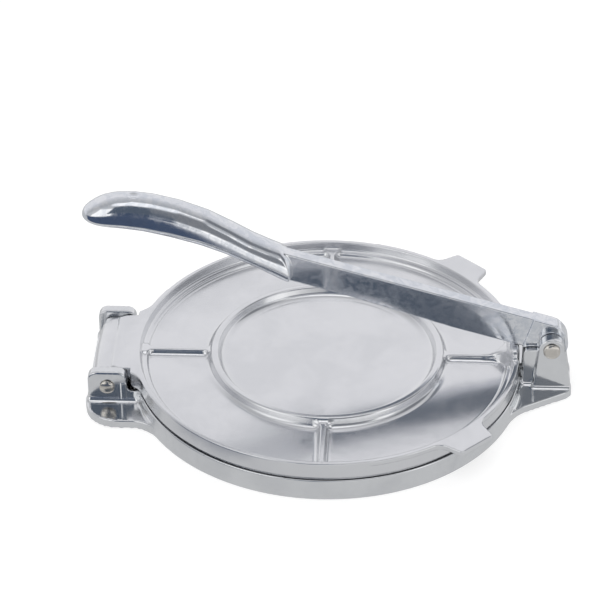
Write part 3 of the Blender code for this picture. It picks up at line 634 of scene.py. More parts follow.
class BasePlate:
    """The lower casting: press plate, hinge plinth and ears, lever tongue and ears."""

    def __init__(self, sizes: BasePlateSizes = BasePlateSizes(), web: WebSizes = WebSizes()) -> None:
        """Take the sizes of the plate and of its ring and ribs."""
        self.sizes = sizes
        self.web = web

    def disc(self, p: Array) -> Array:
        """The round plate's wall."""
        s = self.sizes
        radius = np.hypot(p[:, 0], p[:, 1])
        return radius - s.radius + s.lean * p[:, 2] / s.height

    def plinth(self, p: Array) -> Array:
        """The outline of the low block that carries the hinge ears."""
        s = self.sizes
        x, y = p[:, 0], np.abs(p[:, 1])
        plan = meet(-s.plinth_reach - x, y - s.plinth_half, s.plinth_corner)
        plan = join(plan, self.disc(p), s.plinth_fillet * ramp(-x, 72.0, 90.0))
        return np.maximum(plan, x + 70.0)

    def tongue(self, p: Array) -> Array:
        """The outline of the tapered tongue that carries the lever's ears."""
        s = self.sizes
        x, y = p[:, 0], np.abs(p[:, 1])
        taper = math.atan2(s.tongue_root - s.tongue_tip, s.tongue_reach - s.tongue_root_reach)
        flank = (y - s.tongue_tip) * math.cos(taper) + (x - s.tongue_reach) * math.sin(taper)
        plan = meet(flank, x - s.tongue_reach, s.tongue_corner)
        plan = join(plan, self.disc(p), s.tongue_fillet * ramp(x, 82.0, 97.0))
        return np.maximum(plan, 80.0 - x)

    def hinge_ear(self, p: Array) -> Array:
        """The two upright ears of the hinge."""
        s = self.sizes
        x, y, z = p[:, 0], np.abs(p[:, 1]), p[:, 2]
        side = meet(np.abs(x + HINGE_OFFSET) - s.ear_length / 2, z - s.ear_top, s.ear_corner)
        across = np.abs(y - (s.ear_inner + s.ear_outer) / 2) - (s.ear_outer - s.ear_inner) / 2
        return meet(side, across, s.ear_edge)

    def brace(self, p: Array) -> Array:
        """The thin webs that tie the hinge ears to the skirt."""
        s = self.sizes
        x, y, z = p[:, 0], np.abs(p[:, 1]), p[:, 2]
        end = -HINGE_OFFSET + s.ear_length / 2
        side = join(z - s.brace_level, x - end, s.brace_fillet)
        side = np.maximum(np.maximum(side, x - end - s.brace_reach), end - 3.0 - x)
        side = np.maximum(side, z - s.brace_level - s.brace_fillet - 1.5)
        across = np.abs(y - (s.ear_outer - s.brace / 2)) - s.brace / 2
        return meet(side, across, 0.4)

    def clevis(self, p: Array) -> Array:
        """The two upright ears of the lever's pivot."""
        s = self.sizes
        x, y, z = p[:, 0], np.abs(p[:, 1]), p[:, 2]
        drop = s.clevis_top - s.tongue_height
        back = math.atan2(s.clevis_back - s.clevis_top_half, drop)
        front = math.atan2(s.clevis_front - s.clevis_top_half, drop)
        middle = (PIVOT_OFFSET * 1.0)
        rear = (middle - s.clevis_top_half - x) * math.cos(back) + (z - s.clevis_top) * math.sin(back)
        fore = (x - middle - s.clevis_top_half) * math.cos(front) + (z - s.clevis_top) * math.sin(front)
        crown = np.hypot(x - middle, z - s.clevis_top + 6.9) - 6.9
        flank = meet(rear, fore, 0.0)
        side = np.where(z > s.clevis_top - 6.9, np.maximum(flank, crown), flank)
        across = np.abs(y - (s.clevis_inner + s.clevis_outer) / 2) - (s.clevis_outer - s.clevis_inner) / 2
        return meet(side, across, s.edge)

    def cheek(self, p: Array) -> Array:
        """The thin webs that run from the lever's ears towards the plates."""
        s = self.sizes
        x, y, z = p[:, 0], np.abs(p[:, 1]), p[:, 2]
        side = meet(PIVOT_OFFSET - s.cheek_reach - x, z - s.cheek_level, s.cheek_corner)
        side = np.maximum(side, x - PIVOT_OFFSET)
        across = np.abs(y - (s.cheek_inner + s.cheek_outer) / 2) - (s.cheek_outer - s.cheek_inner) / 2
        return meet(side, across, 0.45)

    def field(self, p: Array) -> Array:
        """Distance to the whole casting."""
        s = self.sizes
        x, y, z = p[:, 0], np.abs(p[:, 1]), p[:, 2]
        radius = np.hypot(x, y)
        wall, plinth, tongue = self.disc(p), self.plinth(p), self.tongue(p)
        body = meet(wall, z - s.height, s.edge)
        body = join(body, meet(plinth, z - s.plinth_height, s.edge + 0.2), no_larger_than(wall - plinth, 2.0))
        body = join(body, meet(tongue, z - s.tongue_height, s.edge + 0.1), no_larger_than(wall - tongue, 2.6))
        outside = ramp(y, s.ear_inner, s.ear_inner + 3.0)
        ears = join(self.hinge_ear(p), self.brace(p), 0.5)
        body = join(body, ears, 0.2 + 2.9 * outside)
        slot = ramp(y, s.clevis_inner, s.clevis_inner + 2.4)
        pair = join(self.clevis(p), self.cheek(p), 0.8)
        body = meet(join(body, pair, 0.2 + 1.8 * slot), x - s.tongue_reach, s.edge)
        floor = self.web.stock(p, s.web_level, -1.0, s.skirt_inner - radius)
        skirt = s.skirt_inner - radius
        under = join(floor, skirt, 1.9)
        under = np.where(radius < 106.0, under, -10.0)
        body = meet(meet(body, under, 0.4), -z, 0.45)
        hinge = np.hypot(x + HINGE_OFFSET, z - HINGE_HEIGHT) - s.hinge_bore
        pivot = np.hypot(x - PIVOT_OFFSET, z - PIVOT_HEIGHT) - s.pivot_bore
        return meet(body, -np.minimum(hinge, pivot), 0.3)

    def axes(self) -> Matrix:
        """From millimetres about the plates' axis to the scene."""
        return from_axis()

    def lattice(self) -> Lattice:
        """The grid to draw it through."""
        radii = graded([Run(0.0, 56.0, 5.0), Run(56.0, 65.5, 1.0), Run(65.5, 92.0, 4.0),
                        Run(92.0, 101.0, 1.4), Run(101.0, 133.6, 0.52)])
        angles = centred_angles([(0.0, 8.0, 0.33), (90.0, 2.4, 0.6), (165.0, 3.6, 0.35),
                                 (180.0, 2.4, 0.6), (195.0, 3.6, 0.35), (270.0, 2.4, 0.6)], 1.15)
        return Lattice(radii, angles, graded([Run(-0.5, 12.0, 0.45), Run(12.0, 36.6, 0.6)]), turned=True)


GRIP_STATIONS = (
    (0.000, 0.070, -0.026), (0.006, 0.175, -0.083), (0.017, 0.297, -0.118), (0.036, 0.419, -0.131),
    (0.062, 0.507, -0.114), (0.096, 0.550, -0.070), (0.148, 0.581, -0.009), (0.234, 0.655, 0.087),
    (0.337, 0.795, 0.175), (0.457, 0.935, 0.223), (0.594, 1.000, 0.218), (0.715, 0.974, 0.183),
    (0.809, 0.891, 0.109), (0.878, 0.760, 0.039), (0.930, 0.603, 0.000), (0.966, 0.432, -0.004),
    (0.990, 0.288, 0.013), (1.000, 0.183, 0.052),
)


@dataclass(frozen=True)
class LeverSizes:
    """Sizes of the lever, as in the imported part."""

    slope_deg: float = 16.4
    bar_half: float = 3.5
    bar_rise: float = 11.35
    bar_drop: float = 6.65
    end_drop: float = 4.2
    taper_start: float = 54.0
    taper_end: float = 114.0
    boss_half: float = 4.5
    boss_length: float = 13.9
    boss_reach: float = 9.3
    boss_drop: float = 7.5
    boss_top_round: float = 13.0
    boss_bottom_round: float = 5.5
    grip_start: float = 142.8
    grip_length: float = 116.4
    grip_half: float = 10.0
    grip_rise: float = 22.9
    tip_centre: float = 243.0
    tip_length: float = 16.2
    bore: float = 3.1


class Lever:
    """The lever: boss, bar and grip in one casting, drawn in its own axes."""

    def __init__(self, sizes: LeverSizes = LeverSizes()) -> None:
        """Take the lever's sizes and work out its profile."""
        self.sizes = sizes
        table = np.array(GRIP_STATIONS)
        along = sizes.grip_start + sizes.grip_length * table[:, 0]
        self.fine = np.linspace(sizes.grip_start - 3.0, along[-1] + 3.0, 600)
        self.crown = self.smoothed(along, table[:, 1] * sizes.grip_rise)
        self.belly = self.smoothed(along, table[:, 2] * sizes.grip_rise)

    def smoothed(self, along: Array, level: Array) -> Array:
        """The stations' levels as a smooth line."""
        line = np.interp(self.fine, along, level)
        weights = np.hanning(23)
        padded = np.pad(line, 11, mode="edge")
        return np.convolve(padded, weights / weights.sum(), mode="valid")

    def bar(self, p: Array) -> Array:
        """The straight bar, a little shallower towards the grip."""
        s = self.sizes
        x, y, z = p[:, 0], np.abs(p[:, 1]), p[:, 2]
        drop = np.interp(x, [s.taper_start, s.taper_end], [s.bar_drop, s.end_drop])
        side = meet(z - s.bar_rise, -drop - z, 0.0)
        side = meet(side, np.maximum(-x, x - s.grip_start - 9.0), 0.0)
        return meet(side, y - s.bar_half, 0.6)

    def boss(self, p: Array) -> Array:
        """The thicker round end that turns on the pin."""
        s = self.sizes
        x, y, z = p[:, 0], np.abs(p[:, 1]), p[:, 2]
        upper = meet(-s.boss_reach - x, z - s.bar_rise - 0.1, s.boss_top_round)
        lower = meet(-s.boss_reach - x, -s.boss_drop - z, s.boss_bottom_round)
        side = np.maximum(np.maximum(upper, lower), x - s.boss_length)
        slant = (-z - s.boss_drop) + (x + s.boss_reach) * (s.boss_drop - s.bar_drop) / 23.0
        side = np.maximum(side, slant)
        return meet(side, y - s.boss_half, 0.45)

    def grip(self, p: Array) -> Array:
        """The wide crowned grip, which rises off the bar and turns down at its tip."""
        s = self.sizes
        x, y, z = p[:, 0], np.abs(p[:, 1]), p[:, 2]
        crown = np.interp(x, self.fine, self.crown)
        belly = np.interp(x, self.fine, self.belly)
        height = np.maximum(crown - belly, 1.0)
        past = np.clip((x - s.tip_centre) / s.tip_length, 0.0, 0.995)
        half = s.grip_half * np.sqrt(1.0 - past ** 2.4)
        middle = belly + 0.38 * height
        upper = ((y / half) ** 2.3 + (np.abs(z - middle) / (crown - middle)) ** 2.3) ** (1 / 2.3) - 1.0
        under = ((y / half) ** 2.6 + (np.abs(z - middle) / (middle - belly + 1.0)) ** 2.6) ** (1 / 2.6) - 1.0
        reach = np.where(z > middle, np.minimum(half, crown - middle), np.minimum(half, middle - belly + 1.0))
        oval = np.where(z > middle, upper, under) * reach
        oval = meet(oval, belly - z, 1.6)
        return meet(oval, x - s.tip_centre - s.tip_length, 1.0)

    def grip_front(self, p: Array) -> Array:
        """The slanted face and undercut at the grip's start."""
        x, z = p[:, 0], p[:, 2]
        angle = math.radians(47.7)
        slant = -(x - 144.5) * math.sin(angle) + (z - 4.5) * math.cos(angle)
        return meet(143.7 - x, slant, 6.0)

    def field(self, p: Array) -> Array:
        """Distance to the whole casting."""
        s = self.sizes
        grip = meet(self.grip(p), self.grip_front(p), 2.4)
        body = join(self.bar(p), grip, 1.0)
        body = join(body, self.boss(p), 0.4)
        dimple = np.sqrt((p[:, 0] - 237.0) ** 2 + p[:, 1] ** 2 + (p[:, 2] - 24.6) ** 2) - 5.2
        body = meet(body, -dimple, 0.4)
        bore = np.hypot(p[:, 0], p[:, 2]) - s.bore
        return meet(body, -bore, 0.3)

    def lattice(self) -> Lattice:
        """The grid to draw it through."""
        along = graded([Run(-10.0, 16.0, 0.5), Run(16.0, 140.0, 1.5), Run(140.0, 160.0, 0.5),
                        Run(160.0, 232.0, 0.8), Run(232.0, 260.4, 0.5)])
        return Lattice(along, graded([Run(-10.8, 10.8, 0.48)]), graded([Run(-8.4, 24.0, 0.5)]))

    def axes(self) -> Matrix:
        """From the lever's own millimetres to the scene."""
        turn = Matrix.Rotation(math.pi, 4, "Z") @ Matrix.Rotation(-math.radians(self.sizes.slope_deg), 4, "Y")
        return Matrix.Translation(PIVOT) @ turn @ Matrix.Scale(MM, 4)


# Rivets

@dataclass(frozen=True)
class RivetSizes:
    """Sizes of a rivet across a pair of ears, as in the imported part."""

    shaft: float
    head: float
    tail: float
    half_length: float
    head_height: float = 1.75
    rim: float = 0.55
    chamfer: float = 0.12
    gap: float = 0.3
    dome_steps: int = 12
    steps: int = 96


class Rivet:
    """A rivet with a domed head in front and its closed tail at the back."""

    def __init__(self, name: str, place: Vector, sizes: RivetSizes) -> None:
        """Take the rivet's name, the middle of its shaft and its sizes."""
        self.name = name
        self.place = place
        self.sizes = sizes

    def end(self, radius: float, side: float) -> list[tuple[float, float]]:
        """Half profile of one end, from its crown to the shaft.

        Args:
            radius: The end's radius.
            side: -1.0 for the head in front, 1.0 for the tail at the back.

        Returns:
            Pairs of radius and place along the pin.
        """
        s = self.sizes
        seat = s.half_length + s.gap
        points = []
        for step in range(s.dome_steps + 1):
            angle = math.pi / 2 * step / s.dome_steps
            rise = s.rim + (s.head_height - s.rim) * math.cos(angle)
            points.append((radius * math.sin(angle), side * (seat + rise)))
        points += [(radius, side * (seat + s.chamfer)), (radius - s.chamfer, side * seat)]
        points.append((s.shaft, side * seat))
        return points

    def build(self) -> bpy.types.Object:
        """Turn the profile about the pin's axis.

        Returns:
            The new object.
        """
        s = self.sizes
        profile = self.end(s.head, -1.0) + self.end(s.tail, 1.0)[::-1]
        angles = [2 * math.pi * step / s.steps for step in range(s.steps)]
        work = bmesh.new()
        rings = []
        for radius, along in profile:
            if radius < PROBE:
                rings.append([work.verts.new((0.0, along, 0.0))])
            else:
                rings.append([work.verts.new((radius * math.cos(angle), along, radius * math.sin(angle)))
                              for angle in angles])
        for low, high in zip(rings, rings[1:]):
            for step in range(s.steps):
                after = (step + 1) % s.steps
                corners = [low[step % len(low)], low[after % len(low)],
                           high[after % len(high)], high[step % len(high)]]
                work.faces.new(list(dict.fromkeys(corners)))
        bmesh.ops.recalc_face_normals(work, faces=work.faces)
        mesh = bpy.data.meshes.new(self.name)
        work.to_mesh(mesh)
        work.free()
        mesh.shade_smooth()
        mesh.set_sharp_from_angle(angle=math.radians(40.0))
        mesh.transform(Matrix.Translation(self.place) @ Matrix.Scale(MM, 4))
        piece = bpy.data.objects.new(self.name, mesh)
        bpy.context.scene.collection.objects.link(piece)
        return piece


# Finishes

Socket = bpy.types.NodeSocket
Value = Socket | float
Tone = Socket | tuple[float, float, float]


class Nodes:
    """A short way to write a node tree."""

    def __init__(self, tree: bpy.types.NodeTree) -> None:
        """Take the tree to fill."""
        self.tree = tree

    def add(self, kind: str, inputs: Optional[dict] = None, **settings: object) -> bpy.types.Node:
        """Add a node.

        Args:
            kind: The node's type.
            inputs: Values or sockets by the input's name or number.
            **settings: The node's own settings.

        Returns:
            The new node.
        """
        node = self.tree.nodes.new(kind)
        for key, value in settings.items():
            setattr(node, key, value)
        for key, value in (inputs or {}).items():
            if isinstance(value, bpy.types.NodeSocket):
                self.tree.links.new(value, node.inputs[key])
            else:
                node.inputs[key].default_value = value
        return node

    def noise(self, place: Socket, scale: float, detail: float = 3.0, rough: float = 0.5,
              twist: float = 0.0) -> Socket:
        """A noise from 0 to 1, with its scale per metre."""
        node = self.add("ShaderNodeTexNoise", {"Vector": place, "Scale": scale, "Detail": detail,
                                               "Roughness": rough, "Distortion": twist})
        return node.outputs["Fac"]

    def math(self, operation: str, *values: Value) -> Socket:
        """A sum of one or two values."""
        return self.add("ShaderNodeMath", dict(enumerate(values)), operation=operation).outputs[0]

    def spread(self, value: Value, low: float, high: float, start: float = 0.0, end: float = 1.0) -> Socket:
        """A value moved smoothly from one range to another."""
        node = self.add("ShaderNodeMapRange", {"Value": value, "From Min": low, "From Max": high,
                                               "To Min": start, "To Max": end},
                        interpolation_type="SMOOTHSTEP")
        return node.outputs["Result"]

    def mix(self, factor: Value, first: Tone, second: Tone) -> Socket:
        """Two colours mixed."""
        node = self.add("ShaderNodeMix", {"Factor": factor}, data_type="RGBA")
        for socket, value in ((node.inputs[6], first), (node.inputs[7], second)):
            if isinstance(value, bpy.types.NodeSocket):
                self.tree.links.new(value, socket)
            else:
                socket.default_value = (*value, 1.0)
        return node.outputs[2]


def cast_skin_group() -> bpy.types.NodeTree:
    """The shared skin of a worked casting: soft clouds, blotches, pits and fine grain.

    Returns:
        A node group that gives masks and a height, and holds no shader.
    """
    group = bpy.data.node_groups.new("cast_skin", "ShaderNodeTree")
    group.interface.new_socket("Place", in_out="INPUT", socket_type="NodeSocketVector")
    for name in ("Clouds", "Blotches", "Grain", "Pits", "Waves"):
        group.interface.new_socket(name, in_out="OUTPUT", socket_type="NodeSocketFloat")
    nodes = Nodes(group)
    place = nodes.add("NodeGroupInput").outputs["Place"]
    clouds = nodes.noise(place, 28.0, 4.0, 0.55, 0.4)
    blotches = nodes.noise(place, 210.0, 6.0, 0.62, 0.8)
    grain = nodes.noise(place, 2600.0, 2.0, 0.6)
    waves = nodes.noise(place, 60.0, 1.0, 0.4)
    cells = nodes.add("ShaderNodeTexVoronoi", {"Vector": place, "Scale": 900.0, "Randomness": 1.0})
    sparse = nodes.spread(nodes.noise(place, 140.0, 2.0), 0.6, 0.68)
    pits = nodes.math("MULTIPLY", nodes.spread(cells.outputs["Distance"], 0.22, 0.08), sparse)
    out = nodes.add("NodeGroupOutput")
    for name, value in (("Clouds", clouds), ("Blotches", blotches), ("Grain", grain), ("Pits", pits),
                        ("Waves", waves)):
        group.links.new(value, out.inputs[name])
    return group


@dataclass(frozen=True)
class MetalFinish:
    """How a metal looks: its two tones, its polish, and how far its skin stirs both."""

    name: str
    light: tuple[float, float, float]
    dark: tuple[float, float, float]
    roughness: float
    roughness_stir: float
    blotch: float = 0.3
    grain_height: float = 0.004
    blotch_height: float = 0.01
    wave_height: float = 0.0
    pit_height: float = 0.02
    turned: float = 0.0

    def build(self, skin: bpy.types.NodeTree) -> bpy.types.Material:
        """Make the material.

        Args:
            skin: The shared node group for worked castings.

        Returns:
            The new material.
        """
        metal = bpy.data.materials.new(self.name)
        metal.use_nodes = True
        nodes = Nodes(metal.node_tree)
        shader = metal.node_tree.nodes["Principled BSDF"]
        place = nodes.add("ShaderNodeTexCoord").outputs["Object"]
        group = nodes.add("ShaderNodeGroup", {}, node_tree=skin)
        metal.node_tree.links.new(place, group.inputs["Place"])
        clouds = nodes.spread(group.outputs["Clouds"], 0.35, 0.65)
        blotches = nodes.spread(group.outputs["Blotches"], 0.4, 0.62)
        stirred = nodes.math("ADD", nodes.math("MULTIPLY", clouds, 1.0 - self.blotch),
                             nodes.math("MULTIPLY", blotches, self.blotch))
        colour = nodes.mix(stirred, self.dark, self.light)
        rough = nodes.spread(stirred, 0.0, 1.0, self.roughness + self.roughness_stir,
                             self.roughness - self.roughness_stir)
        height = nodes.math("ADD", nodes.math("MULTIPLY", group.outputs["Grain"], self.grain_height),
                            nodes.math("MULTIPLY", group.outputs["Blotches"], self.blotch_height))
        pits = nodes.math("MULTIPLY", group.outputs["Pits"], self.pit_height)
        height = nodes.math("SUBTRACT", height, pits)
        height = nodes.math("ADD", height, nodes.math("MULTIPLY", group.outputs["Waves"], self.wave_height))
        if self.turned:
            height = nodes.math("ADD", height, self.lathe_marks(nodes, place))
        bump = nodes.add("ShaderNodeBump", {"Height": height, "Distance": MM, "Strength": 1.0})
        links = metal.node_tree.links
        links.new(colour, shader.inputs["Base Color"])
        links.new(rough, shader.inputs["Roughness"])
        links.new(bump.outputs["Normal"], shader.inputs["Normal"])
        shader.inputs["Metallic"].default_value = 1.0
        return metal

    def lathe_marks(self, nodes: Nodes, place: Socket) -> Socket:
        """Fine rings that a facing cut leaves about the plates' axis."""
        parts = nodes.add("ShaderNodeSeparateXYZ", {0: place})
        across = nodes.math("SUBTRACT", parts.outputs["X"], AXIS_X * MM)
        flat = nodes.add("ShaderNodeCombineXYZ", {0: across, 1: parts.outputs["Y"]})
        radius = nodes.add("ShaderNodeVectorMath", {0: flat.outputs[0]}, operation="LENGTH").outputs["Value"]
        line = nodes.add("ShaderNodeCombineXYZ", {0: radius})
        return nodes.math("MULTIPLY", nodes.noise(line.outputs[0], 1400.0, 3.0, 0.6), self.turned)


class Finish(Enum):
    """The metals of the press."""

    BASE = MetalFinish("base_casting_satin", (0.80, 0.81, 0.82), (0.72, 0.73, 0.745), 0.17, 0.04,
                       blotch=0.2, grain_height=0.002, blotch_height=0.003, pit_height=0.006)
    PLATE = MetalFinish("plate_casting_satin", (0.80, 0.805, 0.82), (0.75, 0.757, 0.775), 0.22, 0.04,
                        blotch=0.15, grain_height=0.001, blotch_height=0.002, pit_height=0.003,
                        wave_height=0.06, turned=0.0008)
    LEVER = MetalFinish("lever_casting_polished", (0.84, 0.85, 0.87), (0.68, 0.71, 0.76), 0.13, 0.06,
                        blotch=0.65, blotch_height=0.02, grain_height=0.002, wave_height=0.012)
    STEEL = MetalFinish("rivet_steel_bright", (0.72, 0.69, 0.64), (0.58, 0.55, 0.50), 0.20, 0.06,
                        grain_height=0.003)


# Studio

@dataclass(frozen=True)
class CameraSizes:
    """The photograph's camera, found from the circles of the two plates."""

    place: tuple[float, float, float] = (33.4, -1116.1, 822.5)
    azimuth_deg: float = 2.46
    elevation_deg: float = 34.63
    roll_deg: float = -0.22
    focal_px: float = 2551.7
    picture_px: int = 600
    sensor: float = 36.0


@dataclass(frozen=True)
class StudioSizes:
    """The studio about the press, in metres."""

    floor_half: float = 3.0
    floor_drop: float = 0.0002
    card_half: float = 1.72
    card_drop: float = 0.0001
    dome_radius: float = 1.75
    dome_low_deg: float = -6.0
    dome_rows: int = 48
    dome_columns: int = 96


@dataclass(frozen=True)
class Patch:
    """A soft-edged patch of the dome: how far it reaches round and up, in degrees, and its colour."""

    name: str
    colour: tuple[float, float, float]
    around: tuple[float, float]
    rise: tuple[float, float]
    soft: float
    both_sides: bool = True


# The dome from the front's horizon over the top to the back's, in degrees, and its patches
DOME_TONES = (
    (0.0, (0.55, 0.555, 0.57)), (60.0, (0.58, 0.59, 0.61)), (90.0, (0.46, 0.465, 0.48)),
    (115.0, (0.60, 0.605, 0.625)), (138.0, (0.83, 0.83, 0.86)), (180.0, (0.90, 0.90, 0.91)),
)
DOME_PATCHES = (
    Patch("side_softbox", (1.15, 1.15, 1.15), (22.0, 64.0), (-20.0, 46.0), 5.0),
    Patch("low_softbox", (1.15, 1.15, 1.15), (3.0, 66.0), (-20.0, 10.0), 5.0, False),
    Patch("left_softbox", (1.15, 1.15, 1.15), (-66.0, -14.0), (-20.0, 17.0), 5.0, False),
    Patch("top_softbox", (1.15, 1.15, 1.17), (-1.0, 75.0), (62.0, 92.0), 4.0),
    Patch("room_on_the_right", (0.23, 0.24, 0.26), (5.0, 46.0), (13.0, 58.0), 7.0, False),
    Patch("room_behind_camera", (0.06, 0.085, 0.14), (-13.0, 3.0), (-20.0, 18.0), 4.0, False),
    Patch("camera_column", (0.095, 0.12, 0.16), (-26.0, 6.5), (14.0, 60.0), 3.0, False),
    Patch("gap_at_the_right", (0.20, 0.21, 0.23), (78.0, 112.0), (20.0, 62.0), 9.0, False),
)


# The two soft lamps: name, place, side and power
LAMPS = (("key", (-0.3, -0.8, 1.5), 1.6, 14.0), ("fill", (0.4, 1.0, 1.4), 1.8, 9.0))


class Studio:
    """The camera, the floor, the lamps and the sheets that the metal reflects."""

    def __init__(self, camera: CameraSizes = CameraSizes(), sizes: StudioSizes = StudioSizes()) -> None:
        """Take the camera's and the studio's sizes."""
        self.camera = camera
        self.sizes = sizes

    def build(self) -> None:
        """Set up the whole studio."""
        self.place_camera()
        self.lay_floor()
        self.hang_sheet()
        self.lay_card()
        self.set_lamps()
        self.set_world()

    def place_camera(self) -> None:
        """Set the scene's camera at the photograph's angle."""
        sizes = self.camera
        azimuth, elevation, roll = (math.radians(angle) for angle in
                                    (sizes.azimuth_deg, sizes.elevation_deg, sizes.roll_deg))
        forward = Vector((-math.sin(azimuth) * math.cos(elevation),
                          math.cos(azimuth) * math.cos(elevation), -math.sin(elevation)))
        right = Vector((math.cos(azimuth), math.sin(azimuth), 0.0))
        up = right.cross(forward)
        over = right * math.cos(roll) + up * math.sin(roll)
        above = up * math.cos(roll) - right * math.sin(roll)
        data = bpy.data.cameras.new("photo_camera")
        data.sensor_width = sizes.sensor
        data.lens = sizes.focal_px / sizes.picture_px * sizes.sensor
        data.clip_start = 0.01
        data.clip_end = 20.0
        camera = bpy.data.objects.new("photo_camera", data)
        basis = Matrix((over, above, -forward)).transposed().to_4x4()
        place = (Vector(sizes.place) + Vector((AXIS_X, 0.0, 0.0))) * MM
        camera.matrix_world = Matrix.Translation(place) @ basis
        bpy.context.scene.collection.objects.link(camera)
        bpy.context.scene.camera = camera

    def sheet(self, name: str, points: list, faces: list, material: bpy.types.Material,
              seen: bool) -> bpy.types.Object:
        """One sheet of the studio, marked as stage.

        Args:
            name: Its name.
            points: Its corners, in metres.
            faces: Its faces.
            material: Its material.
            seen: Whether the camera and the lamps see it, or only the metal's reflections.

        Returns:
            The new object.
        """
        mesh = bpy.data.meshes.new(name)
        mesh.from_pydata(points, [], faces)
        mesh.materials.append(material)
        item = bpy.data.objects.new(name, mesh)
        bpy.context.scene.collection.objects.link(item)
        if not seen:
            item.visible_camera = False
            item.visible_diffuse = False
            item.visible_shadow = False
            item.visible_transmission = False
            item.visible_volume_scatter = False
        return item

    def lay_floor(self) -> None:
        """A pale floor that is white to the camera and keeps the press's shadow."""
        half, drop = self.sizes.floor_half, -self.sizes.floor_drop
        material = bpy.data.materials.new("floor_pale")
        material.use_nodes = True
        nodes = Nodes(material.node_tree)
        material.node_tree.nodes.remove(material.node_tree.nodes["Principled BSDF"])
        path = nodes.add("ShaderNodeLightPath")
        seen = nodes.math("MAXIMUM", path.outputs["Is Camera Ray"],
                          nodes.math("MAXIMUM", path.outputs["Is Glossy Ray"],
                                     path.outputs["Is Transmission Ray"]))
        matte = nodes.add("ShaderNodeBsdfDiffuse", {"Color": (0.50, 0.50, 0.50, 1.0)})
        glow = nodes.add("ShaderNodeEmission", {"Color": (1.0, 1.0, 1.0, 1.0),
                                                "Strength": nodes.math("MULTIPLY", seen, 0.62)})
        both = nodes.add("ShaderNodeAddShader", {0: matte.outputs[0], 1: glow.outputs[0]})
        out = material.node_tree.nodes["Material Output"]
        material.node_tree.links.new(both.outputs[0], out.inputs["Surface"])
        corners = [(-half, -half, drop), (half, -half, drop), (half, half, drop), (-half, half, drop)]
        self.sheet("floor", corners, [(0, 1, 2, 3)], material, True)

    def hang_sheet(self) -> None:
        """The dome about the press: softboxes with a dark gap between them, and a pale back."""
        sizes = self.sizes
        points, faces = [], []
        columns = sizes.dome_columns
        for row in range(sizes.dome_rows + 1):
            low = math.radians(sizes.dome_low_deg)
            rise = low + (math.pi / 2 - low) * row / sizes.dome_rows
            for column in range(columns):
                turn = 2 * math.pi * column / columns
                points.append((sizes.dome_radius * math.cos(rise) * math.cos(turn),
                               sizes.dome_radius * math.cos(rise) * math.sin(turn),
                               sizes.dome_radius * math.sin(rise)))
                if row:
                    after = (column + 1) % columns
                    faces.append(((row - 1) * columns + column, (row - 1) * columns + after,
                                  row * columns + after, row * columns + column))
        self.sheet("studio_dome", points, faces, self.dome_material(), False)

    def dome_material(self) -> bpy.types.Material:
        """The dome's glow, by direction."""
        material = bpy.data.materials.new("studio_dome")
        material.use_nodes = True
        nodes = Nodes(material.node_tree)
        material.node_tree.nodes.remove(material.node_tree.nodes["Principled BSDF"])
        place = nodes.add("ShaderNodeTexCoord").outputs["Object"]
        unit = nodes.add("ShaderNodeVectorMath", {0: place}, operation="NORMALIZE").outputs[0]
        parts = nodes.add("ShaderNodeSeparateXYZ", {0: unit})
        front = nodes.math("MULTIPLY", parts.outputs["Y"], -1.0)
        over = nodes.math("DIVIDE", nodes.math("ARCTAN2", parts.outputs["Z"], front), math.pi)
        around = nodes.math("DEGREES", nodes.math("ARCTAN2", parts.outputs["X"], front))
        aside = nodes.math("ABSOLUTE", around)
        rise = nodes.math("DEGREES", nodes.math("ARCSINE", parts.outputs["Z"]))
        tones = nodes.add("ShaderNodeValToRGB", {"Fac": over})
        elements = tones.color_ramp.elements
        elements[0].color = (*DOME_TONES[0][1], 1.0)
        elements[1].color = (*DOME_TONES[-1][1], 1.0)
        for degrees, colour in DOME_TONES[1:-1]:
            elements.new(degrees / 180.0).color = (*colour, 1.0)
        colour = tones.outputs["Color"]
        for patch in DOME_PATCHES:
            turn = aside if patch.both_sides else around
            mask = nodes.math("MULTIPLY", self.window(nodes, turn, patch.around, patch.soft),
                              self.window(nodes, rise, patch.rise, patch.soft))
            colour = nodes.mix(mask, colour, patch.colour)
        glow = nodes.add("ShaderNodeEmission", {"Color": colour, "Strength": 1.0})
        out = material.node_tree.nodes["Material Output"]
        material.node_tree.links.new(glow.outputs[0], out.inputs["Surface"])
        return material

    def window(self, nodes: Nodes, value: Socket, span: tuple[float, float], soft: float) -> Socket:
        """A mask that is 1 inside a span and fades out past its ends."""
        enter = nodes.spread(value, span[0] - soft / 2, span[0] + soft / 2)
        leave = nodes.spread(value, span[1] + soft / 2, span[1] - soft / 2)
        return nodes.math("MULTIPLY", enter, leave)

